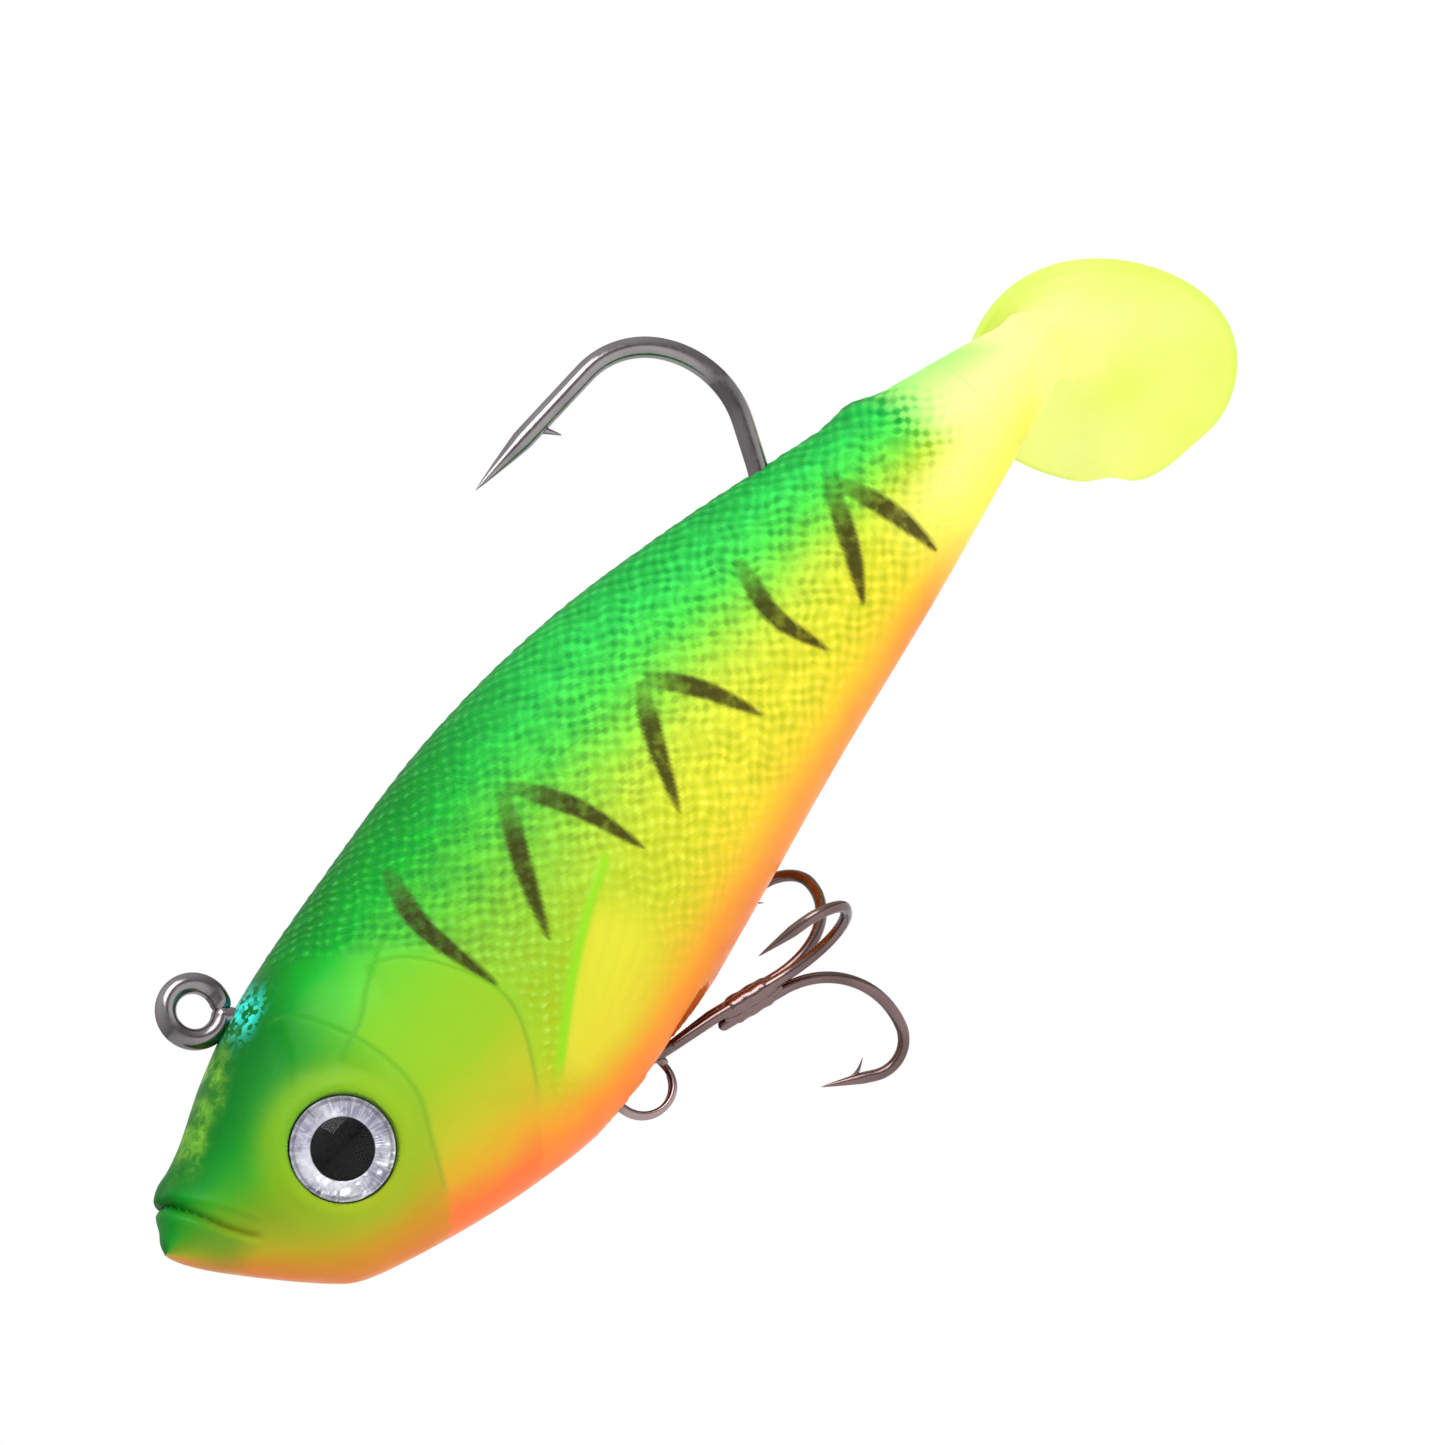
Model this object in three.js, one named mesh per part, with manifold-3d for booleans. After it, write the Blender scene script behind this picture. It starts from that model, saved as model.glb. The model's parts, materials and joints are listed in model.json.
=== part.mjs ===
// A soft swimbait about 100 mm long: a moulded shad body with a paddle tail, cast over a
// lead-weighted jig hook, with a treble hook hung under its belly on a split ring.
//
// Millimetres. +X runs from head to tail, +Z to the back, and -Y to the fish's left side.
// Everything is laid out from the mouth at (0, 0, 0). The finished lure then moves so that the
// origin is the spot inside the line-tie ring where a line pulls.

import * as THREE from 'three';
import { mergeVertices } from 'three/addons/utils/BufferGeometryUtils.js';
import Module from 'manifold-3d';

const wasm = await Module();
wasm.setup();

const { cos, sin, PI } = Math;
const degrees = THREE.MathUtils.degToRad;
const vector = (x, y, z) => new THREE.Vector3(x, y, z);

// ---------- Driving dimensions ----------

const GAP = 0.3; // clearance round a piece that is moulded in
const WIRE_SIDES = 10;
const ARC_STEP = degrees(15);

// The soft body's outline as [x, z] points, and its half width as [x, y] points.
const BACK = [
  [-1.7, -1.2], [1.2, 1.7], [4.3, 2.7], [8.6, 4.8], [14.3, 6.9], [25.7, 9.2], [37.2, 10.9],
  [48.6, 11.1], [60, 9.8], [70, 8], [77, 6.8], [88, 4],
];
const BELLY = [
  [-1.7, -2.6], [0, -5], [6, -11.7], [11.4, -13.9], [20, -15.8], [29, -16.5], [37, -15.1],
  [46, -12.7], [57, -9.6], [70, -6.3], [80, -3.5], [88, -1.2],
];
const HALF_WIDTH = [
  [-1.7, 0.9], [0.5, 2.3], [4, 4], [8, 5.4], [13, 6.4], [20, 7.1], [30, 7.4], [40, 7.1], [50, 6.1],
  [60, 4.8], [68, 3.8], [74, 3.05], [80, 2.3], [88, 1.4],
];
const NOSE_X = -1.7;
const WIDEST_SHARE = 0.45; // height of the widest line, as a share of the body's height

const FLEX_X = 74; // the tail bends here, behind the hook
const FLEX_LIMIT = degrees(30);
const WRIST_X = 87.3; // the paddle swings here, at the thin end of the stem
const PADDLE_TURN = degrees(48); // the paddle faces the fish's left at rest

const PADDLE_RADIUS = 9.25;
const PADDLE_THICKNESS = 2;
const PADDLE_PITCH = degrees(28.7); // top edge forward
const PADDLE_CENTRE = vector(6.8, 0, -2.9); // from the wrist

const HOOK_WIRE = 0.74; // radius of the jig hook's wire
const TIE_CENTRE = vector(11.7, 0, 8.6);
const TIE_RADIUS = 1.96; // of the ring's centreline
const NECK_HEADING = -degrees(52.5); // from the ring down into the head
const NECK_CORNER = 1.6; // bend radius where the neck meets the shank
const SHANK_Z = 4.9;
const SHANK_END_X = 61.1;
const HOOK_RISE = { radius: 7.5, angle: degrees(62.5), length: 3 }; // out through the back
const HOOK_BEND = [[7, degrees(65)], [6, degrees(55.5)]]; // radii and angles
const POINT_LEG = 11.5;

const EYE_CENTRE = vector(10.7, 6.1, -5.1); // on the right cheek, mirrored to the left
const EYE_RADIUS = 3.6;
const EYE_TURN = degrees(12); // the cheek faces a little forward
const EYE_DEPTH = 1.5; // depth of the socket

const WEIGHT_CENTRE = vector(22.5, 0, -1);
const WEIGHT_SIZE = vector(10.2, 2.6, 7.6); // half length, half thickness, half height
const KEEPER = { start: 28, end: 36, radius: 1.7, barb: 2.4 };

const SPLIT_WIRE = 0.26;
const SPLIT_RADIUS = 2.19; // of the coil's centreline
const SPLIT_PITCH = 0.6;
const SPLIT_CENTRE = vector(31, 0, -16.05);

const EYELET_WIRE = 0.4;
const EYELET_RADIUS = 1.1;
const EYELET_LEAN = degrees(60); // direction from the split ring's centre, up and forward

const TREBLE_WIRE = 0.41;
const TREBLE_EYE_RADIUS = 1.2;
const TREBLE_RISE = degrees(17); // direction of its eye from the split ring's centre
const TREBLE_DIP = degrees(13); // the shank points tailward and this much down at rest
const TREBLE_YAW = degrees(-12); // it lies this much over to the fish's left
const TREBLE_SHANK = 9.6; // straight part, from the eye's centre
const TREBLE_BEND = [[6.25, degrees(21)], [5.75, degrees(75)], [2.45, degrees(103)]]; // radii and angles
const TREBLE_POINT = 3.8; // from the bend to the tip
const TREBLE_NEST = 0.58; // each wire's distance from the shank's centre
const BRAZE_RADIUS = TREBLE_NEST + TREBLE_WIRE + 0.22;

// ---------- Materials ----------

function material(colour, roughness, metalness = 0) {
  return new THREE.MeshStandardMaterial({ color: colour, roughness, metalness });
}

const SOFT_GREEN = material('#5ccb52', 0.35);
const SOFT_LIME = material('#a4f08a', 0.35);
const SOFT_YELLOW = material('#f3fb62', 0.3);
const DARK_STEEL = material('#8f8a88', 0.25, 1);
const BRONZE_STEEL = material('#7a5a50', 0.3, 1);
const BRIGHT_STEEL = material('#b9b9bb', 0.25, 1);
const LEAD = material('#70757a', 0.6, 1);
const SILVER_FOIL = material('#c3c6c6', 0.2, 1);
const FLASH_FOIL = material('#45d9e0', 0.2, 1);
const CLEAR_RESIN = material('#e8eef0', 0.05);

// ---------- Solids ----------

// A closed surface as a solid, turned to face out.
function solid(geometry) {
  const bare = geometry.clone();
  bare.deleteAttribute('normal');
  bare.deleteAttribute('uv');
  const merged = mergeVertices(bare);
  const mesh = { numProp: 3, vertProperties: merged.attributes.position.array };
  const made = new wasm.Manifold(new wasm.Mesh({ ...mesh, triVerts: Uint32Array.from(merged.index.array) }));
  if (made.volume() > 0) return made;
  const reversed = Uint32Array.from(merged.index.array).reverse();
  return new wasm.Manifold(new wasm.Mesh({ ...mesh, triVerts: reversed }));
}

function geometryOf(made) {
  const { vertProperties, triVerts } = made.getMesh();
  const geometry = new THREE.BufferGeometry();
  geometry.setAttribute('position', new THREE.BufferAttribute(vertProperties, 3));
  geometry.setIndex(new THREE.BufferAttribute(triVerts, 1));
  geometry.computeVertexNormals();
  return geometry;
}

function piece(name, made, finish) {
  const mesh = new THREE.Mesh(geometryOf(made), finish);
  mesh.name = name;
  return mesh;
}

// A closed skin through equal rings of points, with a fan over each end.
function loft(rings) {
  const count = rings[0].length;
  const points = rings.flat();
  const faces = [];
  for (let ring = 0; ring + 1 < rings.length; ring++) {
    for (let j = 0; j < count; j++) {
      const here = ring * count + j;
      const beside = ring * count + ((j + 1) % count);
      faces.push(here, beside, beside + count, here, beside + count, here + count);
    }
  }
  for (const ring of [0, rings.length - 1]) {
    const middle = rings[ring].reduce((sum, p) => sum.add(p), vector(0, 0, 0)).divideScalar(count);
    const hub = points.push(middle) - 1;
    for (let j = 0; j < count; j++) {
      const edge = [ring * count + j, ring * count + ((j + 1) % count)];
      if (ring === 0) edge.reverse();
      faces.push(edge[0], edge[1], hub);
    }
  }
  const geometry = new THREE.BufferGeometry().setFromPoints(points);
  geometry.setIndex(faces);
  return solid(geometry);
}

// A round wire through a line of points. A flat of the wire faces along `across`, which is
// square to a flat path. radiusAt gives the radius at each point.
function wire(path, radiusAt, sides = WIRE_SIDES) {
  const across = vector(0, 1, 0);
  const start = path[1].clone().sub(path[0]).normalize();
  if (Math.abs(start.dot(across)) > 0.9) across.set(1, 0, 0);
  const rings = path.map((point, i) => {
    const before = path[Math.max(i - 1, 0)];
    const after = path[Math.min(i + 1, path.length - 1)];
    const along = after.clone().sub(before).normalize();
    across.addScaledVector(along, -along.dot(across)).normalize();
    const inward = along.clone().cross(across);
    return Array.from({ length: sides }, (_, k) => {
      const turn = ((k + 0.5) * 2 * PI) / sides;
      return point
        .clone()
        .addScaledVector(inward, radiusAt(i) * cos(turn))
        .addScaledVector(across, radiusAt(i) * sin(turn));
    });
  });
  return loft(rings);
}

// A round solid from [radius, height] points, which stands along +Y.
function lathe(profile, sides) {
  const outline = profile.map(([radius, height]) => new THREE.Vector2(radius, height));
  return new THREE.LatheGeometry(outline, sides);
}

function box(low, high) {
  const size = high.clone().sub(low);
  const geometry = new THREE.BoxGeometry(size.x, size.y, size.z);
  const middle = low.clone().add(high).divideScalar(2);
  return solid(geometry.translate(middle.x, middle.y, middle.z));
}

// A cylinder that stands along Z at a place on the fish's centre plane.
function post(radius, x, low = -30, high = 30) {
  const geometry = new THREE.CylinderGeometry(radius, radius, high - low, 32);
  return solid(geometry.rotateX(PI / 2).translate(x, 0, (low + high) / 2));
}

// ---------- Paths ----------

// Walks a flat path: line(length) goes straight and turn(radius, angle) bends left.
class Walk {
  constructor(x, y, heading) {
    this.points = [[x, y]];
    this.heading = heading;
  }

  step(length) {
    const [x, y] = this.points.at(-1);
    this.points.push([x + length * cos(this.heading), y + length * sin(this.heading)]);
  }

  line(length, steps = 1) {
    for (let i = 0; i < steps; i++) this.step(length / steps);
    return this;
  }

  turn(radius, angle) {
    const steps = Math.max(2, Math.round(angle / ARC_STEP));
    const bend = angle / steps;
    for (let i = 0; i < steps; i++) {
      this.heading += bend / 2;
      this.step(2 * radius * sin(bend / 2));
      this.heading += bend / 2;
    }
    return this;
  }
}

// A wire eye as [along, across] points: in on one leg, round the loop and out on the other.
// The legs lie along the positive direction.
function eyeLoop(radius, legOffset, steps = 16) {
  const opening = Math.asin(legOffset / radius);
  return Array.from({ length: steps + 1 }, (_, i) => {
    const angle = opening + (i / steps) * 2 * (PI - opening);
    return [radius * cos(angle), radius * sin(angle)];
  });
}

// A smooth function of x through [x, value] points.
function smooth(points) {
  const curve = new THREE.CatmullRomCurve3(points.map(([x, v]) => vector(x, v, 0)), false, 'centripetal');
  const samples = curve.getPoints(points.length * 12);
  return (x) => {
    const after = samples.findIndex((p) => p.x >= x);
    if (after < 1) return samples.at(after).y;
    const [a, b] = [samples[after - 1], samples[after]];
    return a.y + ((b.y - a.y) * (x - a.x)) / (b.x - a.x);
  };
}

const backAt = smooth(BACK);
const bellyAt = smooth(BELLY);
const halfWidthAt = smooth(HALF_WIDTH);

// ---------- Soft body, stem and paddle ----------

// One upright section of the fish at x, drawn in from the skin by `inset`.
function section(x, inset = 0, count = 28) {
  const widest = bellyAt(x) + WIDEST_SHARE * (backAt(x) - bellyAt(x));
  return Array.from({ length: count }, (_, i) => {
    const turn = (i * 2 * PI) / count;
    const reach = sin(turn) > 0 ? backAt(x) - widest : widest - bellyAt(x);
    const y = (halfWidthAt(x) - inset) * cos(turn);
    return vector(x, y, widest + (reach - inset) * sin(turn));
  });
}

function fishBetween(start, end, stations, inset = 0) {
  const rings = Array.from({ length: stations + 1 }, (_, i) => {
    const share = i / stations;
    return section(start + (end - start) * share, inset);
  });
  return loft(rings);
}

// Everything behind a hinge, with a round front that rolls in the socket ahead of it.
function roundFront(made, hingeX, radius) {
  const behind = box(vector(hingeX, -20, -30), vector(hingeX + 60, 20, 30));
  return made.intersect(post(radius, hingeX).add(behind));
}

function bodyBlank() {
  const tailEnd = FLEX_X - halfWidthAt(FLEX_X) * sin(FLEX_LIMIT);
  const stops = [NOSE_X, -0.9, 0.2, 1.4, 2.8, 4.4, 6, 8, 10.5];
  for (let x = 14; x < tailEnd - 2; x += 4) stops.push(x);
  stops.push(tailEnd);
  const skin = loft(stops.map((x) => section(x)));
  return skin.subtract(post(halfWidthAt(FLEX_X) + GAP, FLEX_X));
}

function tailStem() {
  const radius = halfWidthAt(FLEX_X);
  const stemEnd = WRIST_X - halfWidthAt(WRIST_X) - GAP;
  return roundFront(fishBetween(FLEX_X - radius - 0.5, stemEnd, 8), FLEX_X, radius);
}

// The paddle, laid out from the wrist and square to the stem.
function tailPaddle() {
  const half = PADDLE_THICKNESS / 2;
  const profile = [
    [0, -half], [PADDLE_RADIUS * 0.6, -half * 0.9], [PADDLE_RADIUS * 0.94, -half * 0.6], [PADDLE_RADIUS, 0],
    [PADDLE_RADIUS * 0.94, half * 0.6], [PADDLE_RADIUS * 0.6, half * 0.9], [0, half],
  ];
  const disc = lathe(profile, 32)
    .rotateZ(-PI / 2)
    .rotateY(-PADDLE_PITCH)
    .translate(PADDLE_CENTRE.x, PADDLE_CENTRE.y, PADDLE_CENTRE.z);
  const radius = halfWidthAt(WRIST_X);
  const neckRing = (x) => section(WRIST_X, 0, 20).map((p) => vector(x, p.y, p.z));
  const neckEnd = 4.4; // inside the disc
  const neck = loft([-radius - 0.1, 0, neckEnd].map(neckRing));
  return solid(disc).add(roundFront(neck, 0, radius));
}

// ---------- Jig hook, weight and belly eyelet ----------

// The wire from the line-tie ring down into the head, along the back and round to the point.
function hookWalk() {
  const neckDrop = (TIE_CENTRE.z - SHANK_Z) / -sin(NECK_HEADING);
  const neckLength = neckDrop - TIE_RADIUS - NECK_CORNER * Math.tan(-NECK_HEADING / 2);
  const startX = TIE_CENTRE.x + TIE_RADIUS * cos(NECK_HEADING);
  const startZ = TIE_CENTRE.z + TIE_RADIUS * sin(NECK_HEADING);
  const walk = new Walk(startX, startZ, NECK_HEADING);
  walk.line(neckLength).turn(NECK_CORNER, -NECK_HEADING);
  walk.line(SHANK_END_X - walk.points.at(-1)[0]);
  walk.turn(HOOK_RISE.radius, HOOK_RISE.angle).line(HOOK_RISE.length);
  HOOK_BEND.forEach(([radius, angle]) => walk.turn(radius, angle));
  return walk.line(POINT_LEG, 12);
}

const onCentrePlane = ([x, z]) => vector(x, 0, z);

// The line-tie ring, open where the end of its wire comes back to the neck.
function tiePath() {
  const path = [];
  for (let i = -13.5; i <= 8.5; i++) {
    const angle = PI + i * ARC_STEP;
    path.push(TIE_CENTRE.clone().add(vector(TIE_RADIUS * cos(angle), 0, TIE_RADIUS * sin(angle))));
  }
  return path;
}

// The room that the hook's wire needs inside a piece moulded over it.
function hookChannel() {
  const radius = HOOK_WIRE + GAP;
  return wire(hookWalk().points.map(onCentrePlane), () => radius).add(wire(tiePath(), () => radius));
}

function jigHook() {
  const path = hookWalk().points.map(onCentrePlane);
  const taperPoints = 6; // the last points run down to the sharp tip
  const radiusAt = (i) => Math.max(0.06, HOOK_WIRE * Math.min(1, (path.length - 1 - i) / taperPoints));
  const root = path.at(-7);
  const barbTip = root.clone().add(vector(1.2, 0, -1.6));
  const barb = wire([root, barbTip], (i) => (i === 0 ? 0.3 : 0.05), 6);
  return wire(path, radiusAt).add(wire(tiePath(), () => HOOK_WIRE)).add(barb);
}

// The lead casting: a flat egg round the front of the shank, with a barbed keeper behind it.
function weightBlank(extra = 0) {
  const egg = new THREE.SphereGeometry(1, 20, 14)
    .rotateX(PI / 2)
    .scale(WEIGHT_SIZE.x + extra, WEIGHT_SIZE.y + extra, WEIGHT_SIZE.z + extra)
    .translate(WEIGHT_CENTRE.x, WEIGHT_CENTRE.y, WEIGHT_CENTRE.z);
  const { start, end, radius, barb } = KEEPER;
  const profile = [
    [0, start], [radius + extra, start], [radius + extra, end - 3], [barb + extra, end - 2.5],
    [radius + extra, end + extra], [0, end + extra],
  ];
  const keeper = lathe(profile, 16).rotateZ(-PI / 2).translate(0, 0, SHANK_Z);
  return solid(egg).add(solid(keeper));
}

const EYELET_X = SPLIT_CENTRE.x - eyeletReach() * cos(EYELET_LEAN);
const EYELET_BOTTOM = SPLIT_CENTRE.z + eyeletReach() * sin(EYELET_LEAN);
const EYELET_TOP = -3; // the legs run up to here, in the lead
const LEG_GAP = 0.08; // half the gap between the legs

// Distance from the split ring's centre to the eyelet wire that it hangs on.
function eyeletReach() {
  return SPLIT_RADIUS - SPLIT_WIRE - EYELET_WIRE - 0.1;
}

function bellyEyelet() {
  const legOffset = EYELET_WIRE + LEG_GAP;
  const loopZ = EYELET_BOTTOM + EYELET_RADIUS;
  const loop = eyeLoop(EYELET_RADIUS, legOffset).map(([up, y]) => vector(EYELET_X, y, loopZ + up));
  const legTop = (side) => vector(EYELET_X, side * legOffset, EYELET_TOP);
  return wire([legTop(1), ...loop, legTop(-1)], () => EYELET_WIRE, 8);
}

// The room for the eyelet's two legs, from the belly slot up into the lead.
function eyeletChannel() {
  const halfDepth = EYELET_WIRE + GAP;
  const halfWidth = 2 * EYELET_WIRE + LEG_GAP + GAP;
  const low = vector(EYELET_X - halfDepth, -halfWidth, EYELET_BOTTOM + EYELET_RADIUS);
  return box(low, vector(EYELET_X + halfDepth, halfWidth, EYELET_TOP + GAP));
}

function leadWeight() {
  return weightBlank().subtract(hookChannel()).subtract(eyeletChannel());
}

// ---------- Flash foil in the forehead ----------

function foilBetween(outerInset, innerInset, extra) {
  const front = 4.5 - extra;
  const back = 15.5 + extra;
  const outer = fishBetween(front, back, 6, outerInset);
  const inner = fishBetween(front - 0.5, back + 0.5, 6, innerInset);
  const region = box(vector(0, -3.6 - extra, -1.5 - extra), vector(30, 3.6 + extra, 20));
  return outer.subtract(inner).intersect(region);
}

function flashFoil() {
  return foilBetween(1, 1.25, 0).subtract(hookChannel());
}

// ---------- Soft body with its openings ----------

function eyePlace(side) {
  const place = new THREE.Group();
  place.position.set(EYE_CENTRE.x, side * EYE_CENTRE.y, EYE_CENTRE.z);
  place.rotation.z = side > 0 ? EYE_TURN : PI - EYE_TURN;
  place.updateMatrix();
  return place;
}

function eyeSocket(side) {
  const outward = 4;
  const geometry = new THREE.CylinderGeometry(EYE_RADIUS + GAP, EYE_RADIUS + GAP, EYE_DEPTH + outward, 32);
  return solid(geometry.translate(0, (outward - EYE_DEPTH) / 2, 0).applyMatrix4(eyePlace(side).matrix));
}

// The treble hook's own frame: its eye hangs in the split ring, so the eye's near side lies
// just inside the ring's wire.
function treblePlace() {
  const nearSide = SPLIT_RADIUS - SPLIT_WIRE - TREBLE_WIRE - 0.1;
  const skew = TREBLE_RISE + TREBLE_DIP;
  const eyeOffset = TREBLE_EYE_RADIUS * sin(skew);
  const eyeReach = TREBLE_EYE_RADIUS * cos(skew) + Math.sqrt(nearSide ** 2 - eyeOffset ** 2);
  const place = new THREE.Group();
  place.position.set(eyeReach * cos(TREBLE_RISE), 0, eyeReach * sin(TREBLE_RISE)).add(SPLIT_CENTRE);
  place.rotation.set(0, TREBLE_DIP, TREBLE_YAW, 'ZYX');
  place.updateMatrix();
  return place;
}

// The slot in the belly that the eyelet, the top of the split ring and the treble's eye sit in.
function bellySlot() {
  const halfWidth = TREBLE_EYE_RADIUS + TREBLE_WIRE + GAP;
  const top = EYELET_BOTTOM + 2 * EYELET_RADIUS + EYELET_WIRE + GAP;
  const front = EYELET_X - (SPLIT_CENTRE.x - EYELET_X + SPLIT_RADIUS + SPLIT_WIRE + 2 * GAP);
  const back = treblePlace().position.x + halfWidth;
  const underBelly = -30;
  return box(vector(front, -halfWidth, underBelly), vector(back, halfWidth, top));
}

// The groove behind that slot for the front of the treble's shank, open below.
function shankGroove() {
  const halfWidth = BRAZE_RADIUS + GAP;
  const groove = box(vector(0, -halfWidth, -10), vector(9, halfWidth, halfWidth));
  return groove.transform(treblePlace().matrix.toArray());
}

function softBody() {
  const inside = [
    weightBlank(GAP), hookChannel(), eyeletChannel(), bellySlot(), shankGroove(),
    foilBetween(0.7, 1.55, GAP), eyeSocket(1), eyeSocket(-1),
  ];
  return inside.reduce((body, cut) => body.subtract(cut), bodyBlank());
}

// ---------- Eyes ----------

// A printed foil disc and the clear dome over it, seated in the socket on one side.
function eye(side, name) {
  const place = eyePlace(side);
  const foilThickness = 0.25;
  const foilFloor = -EYE_DEPTH + GAP;
  const foil = new THREE.CylinderGeometry(EYE_RADIUS, EYE_RADIUS, foilThickness, 32)
    .translate(0, foilFloor + foilThickness / 2, 0);
  const domeFloor = foilFloor + foilThickness + 0.1;
  const domeHeight = 1.6;
  const rimHeight = 0.3;
  const steps = 6;
  const profile = [[0, domeFloor], [EYE_RADIUS, domeFloor]];
  for (let i = 0; i <= steps; i++) {
    const r = EYE_RADIUS * (1 - i / steps);
    const crown = (domeHeight - rimHeight) * (1 - (r / EYE_RADIUS) ** 2);
    profile.push([r, domeFloor + rimHeight + crown]);
  }
  place.add(piece(`${name}_eye_foil`, solid(foil), SILVER_FOIL));
  place.add(piece(`${name}_eye_dome`, solid(lathe(profile, 32)), CLEAR_RESIN));
  return place;
}

// ---------- Split ring ----------

// Two flat turns of wire, with a short crossing from one turn to the other.
function splitRing() {
  const stepsPerTurn = 30;
  const crossing = stepsPerTurn / 6;
  const last = 2 * stepsPerTurn - 2;
  const path = Array.from({ length: last + 1 }, (_, i) => {
    const angle = (i / stepsPerTurn) * 2 * PI;
    const crossed = THREE.MathUtils.smoothstep(i, stepsPerTurn - crossing, stepsPerTurn);
    return vector(SPLIT_RADIUS * cos(angle), SPLIT_PITCH * (crossed - 0.5), SPLIT_RADIUS * sin(angle));
  });
  return wire(path, () => SPLIT_WIRE, 8);
}

// ---------- Treble hook ----------

// Laid out from its eye, with the shank along +X. An azimuth is measured round the shank from
// +Z towards +Y.
const TREBLE_AZIMUTHS = { up: degrees(45.5), left: degrees(-74.5), down: degrees(165.5) };

function roundShank(along, out, azimuth) {
  return vector(along, out * sin(azimuth), out * cos(azimuth));
}

// One hook from a place on the shank to its tip, as [along, out] points.
function trebleWalk(start) {
  const walk = new Walk(start, TREBLE_NEST, 0).line(TREBLE_SHANK - start, 3);
  TREBLE_BEND.forEach(([radius, angle]) => walk.turn(radius, angle));
  return walk.line(TREBLE_POINT, 4);
}

function trebleHook(start, azimuth) {
  return trebleWalk(start).points.map(([along, out]) => roundShank(along, out, azimuth));
}

function tipTaper(count, lastIndex) {
  return (i) => Math.max(0.05, TREBLE_WIRE * Math.min(1, (lastIndex - i) / count));
}

function trebleBarb(hook) {
  const root = hook.at(-3);
  const shankward = vector(0, -root.y, -root.z).normalize();
  const tip = root.clone().addScaledVector(shankward, 0.9).add(vector(1.5, 0, 0));
  return wire([root, tip], (i) => (i === 0 ? 0.2 : 0.04), 6);
}

// Two of the hooks are one wire, bent round the eye.
function trebleDoubleWire() {
  const legsMeet = 4.5;
  const loop = eyeLoop(TREBLE_EYE_RADIUS, TREBLE_NEST).map(([along, y]) => vector(along, y, 0));
  const up = trebleHook(legsMeet, TREBLE_AZIMUTHS.up);
  const left = trebleHook(legsMeet, TREBLE_AZIMUTHS.left);
  const path = [...up.slice().reverse(), ...loop, ...left];
  const taper = tipTaper(4, path.length - 1);
  const radiusAt = (i) => Math.min(taper(i), taper(path.length - 1 - i));
  return wire(path, radiusAt, 8).add(trebleBarb(up)).add(trebleBarb(left));
}

function trebleSingleWire() {
  const hook = trebleHook(5, TREBLE_AZIMUTHS.down);
  return wire(hook, tipTaper(4, hook.length - 1), 8).add(trebleBarb(hook));
}

// The braze that joins the three wires halfway down the shank.
function trebleBraze() {
  const outer = BRAZE_RADIUS;
  const [start, end, taper] = [5.4, 9.4, 0.8];
  const neck = outer * 0.93;
  const profile = [
    [0, start], [neck, start], [outer, start + taper], [outer, end - taper], [neck, end], [0, end],
  ];
  const blank = lathe(profile, 20).rotateZ(-PI / 2);
  const play = 0.06;
  const grooves = Object.values(TREBLE_AZIMUTHS).map((azimuth) => {
    const line = [4, 12].map((along) => roundShank(along, TREBLE_NEST, azimuth));
    return wire(line, () => TREBLE_WIRE + play, 12);
  });
  return grooves.reduce((braze, groove) => braze.subtract(groove), solid(blank));
}

function trebleAssembly() {
  const treble = treblePlace();
  treble.add(piece('treble_double_wire', trebleDoubleWire(), BRONZE_STEEL));
  treble.add(piece('treble_single_wire', trebleSingleWire(), BRONZE_STEEL));
  treble.add(piece('treble_braze', trebleBraze(), BRONZE_STEEL));
  return treble;
}

// ---------- The lure ----------

function swimbait() {
  const lure = new THREE.Group();
  lure.add(piece('soft_body', softBody(), SOFT_GREEN));
  lure.add(piece('tail_stem', tailStem(), SOFT_LIME));
  lure.add(piece('jig_hook', jigHook(), DARK_STEEL));
  lure.add(piece('lead_weight', leadWeight(), LEAD));
  lure.add(piece('belly_eyelet', bellyEyelet(), BRIGHT_STEEL));
  lure.add(piece('flash_foil', flashFoil(), FLASH_FOIL));
  lure.add(eye(-1, 'left'), eye(1, 'right'));
  lure.add(trebleAssembly());

  const paddle = piece('tail_paddle', tailPaddle(), SOFT_YELLOW);
  paddle.position.set(WRIST_X, 0, 0);
  paddle.rotation.z = PADDLE_TURN;
  lure.add(paddle);

  const ring = piece('split_ring', splitRing(), BRIGHT_STEEL);
  ring.position.copy(SPLIT_CENTRE);
  lure.add(ring);

  // The flat inside the front of the line-tie ring, which a line pulls on.
  const flatRadius = (TIE_RADIUS - HOOK_WIRE * cos(PI / WIRE_SIDES)) * cos(ARC_STEP / 2);
  lure.position.set(flatRadius - TIE_CENTRE.x, 0, -TIE_CENTRE.z);
  const whole = new THREE.Group();
  whole.add(lure);
  return whole;
}

export default swimbait();
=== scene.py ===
"""Looks for a soft paddle-tail swimbait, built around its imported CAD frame.

Shapes are laid out in millimetres in the fish's own frame: the mouth is at (0, 0, 0), +x runs
to the tail, +z to the back and -y to the fish's left. metres() turns that into the row frame.
"""

import json
from math import asin, cos, pi, radians, sin, tan

import bmesh
import bpy
import numpy as np
from mathutils import Matrix, Vector


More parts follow.
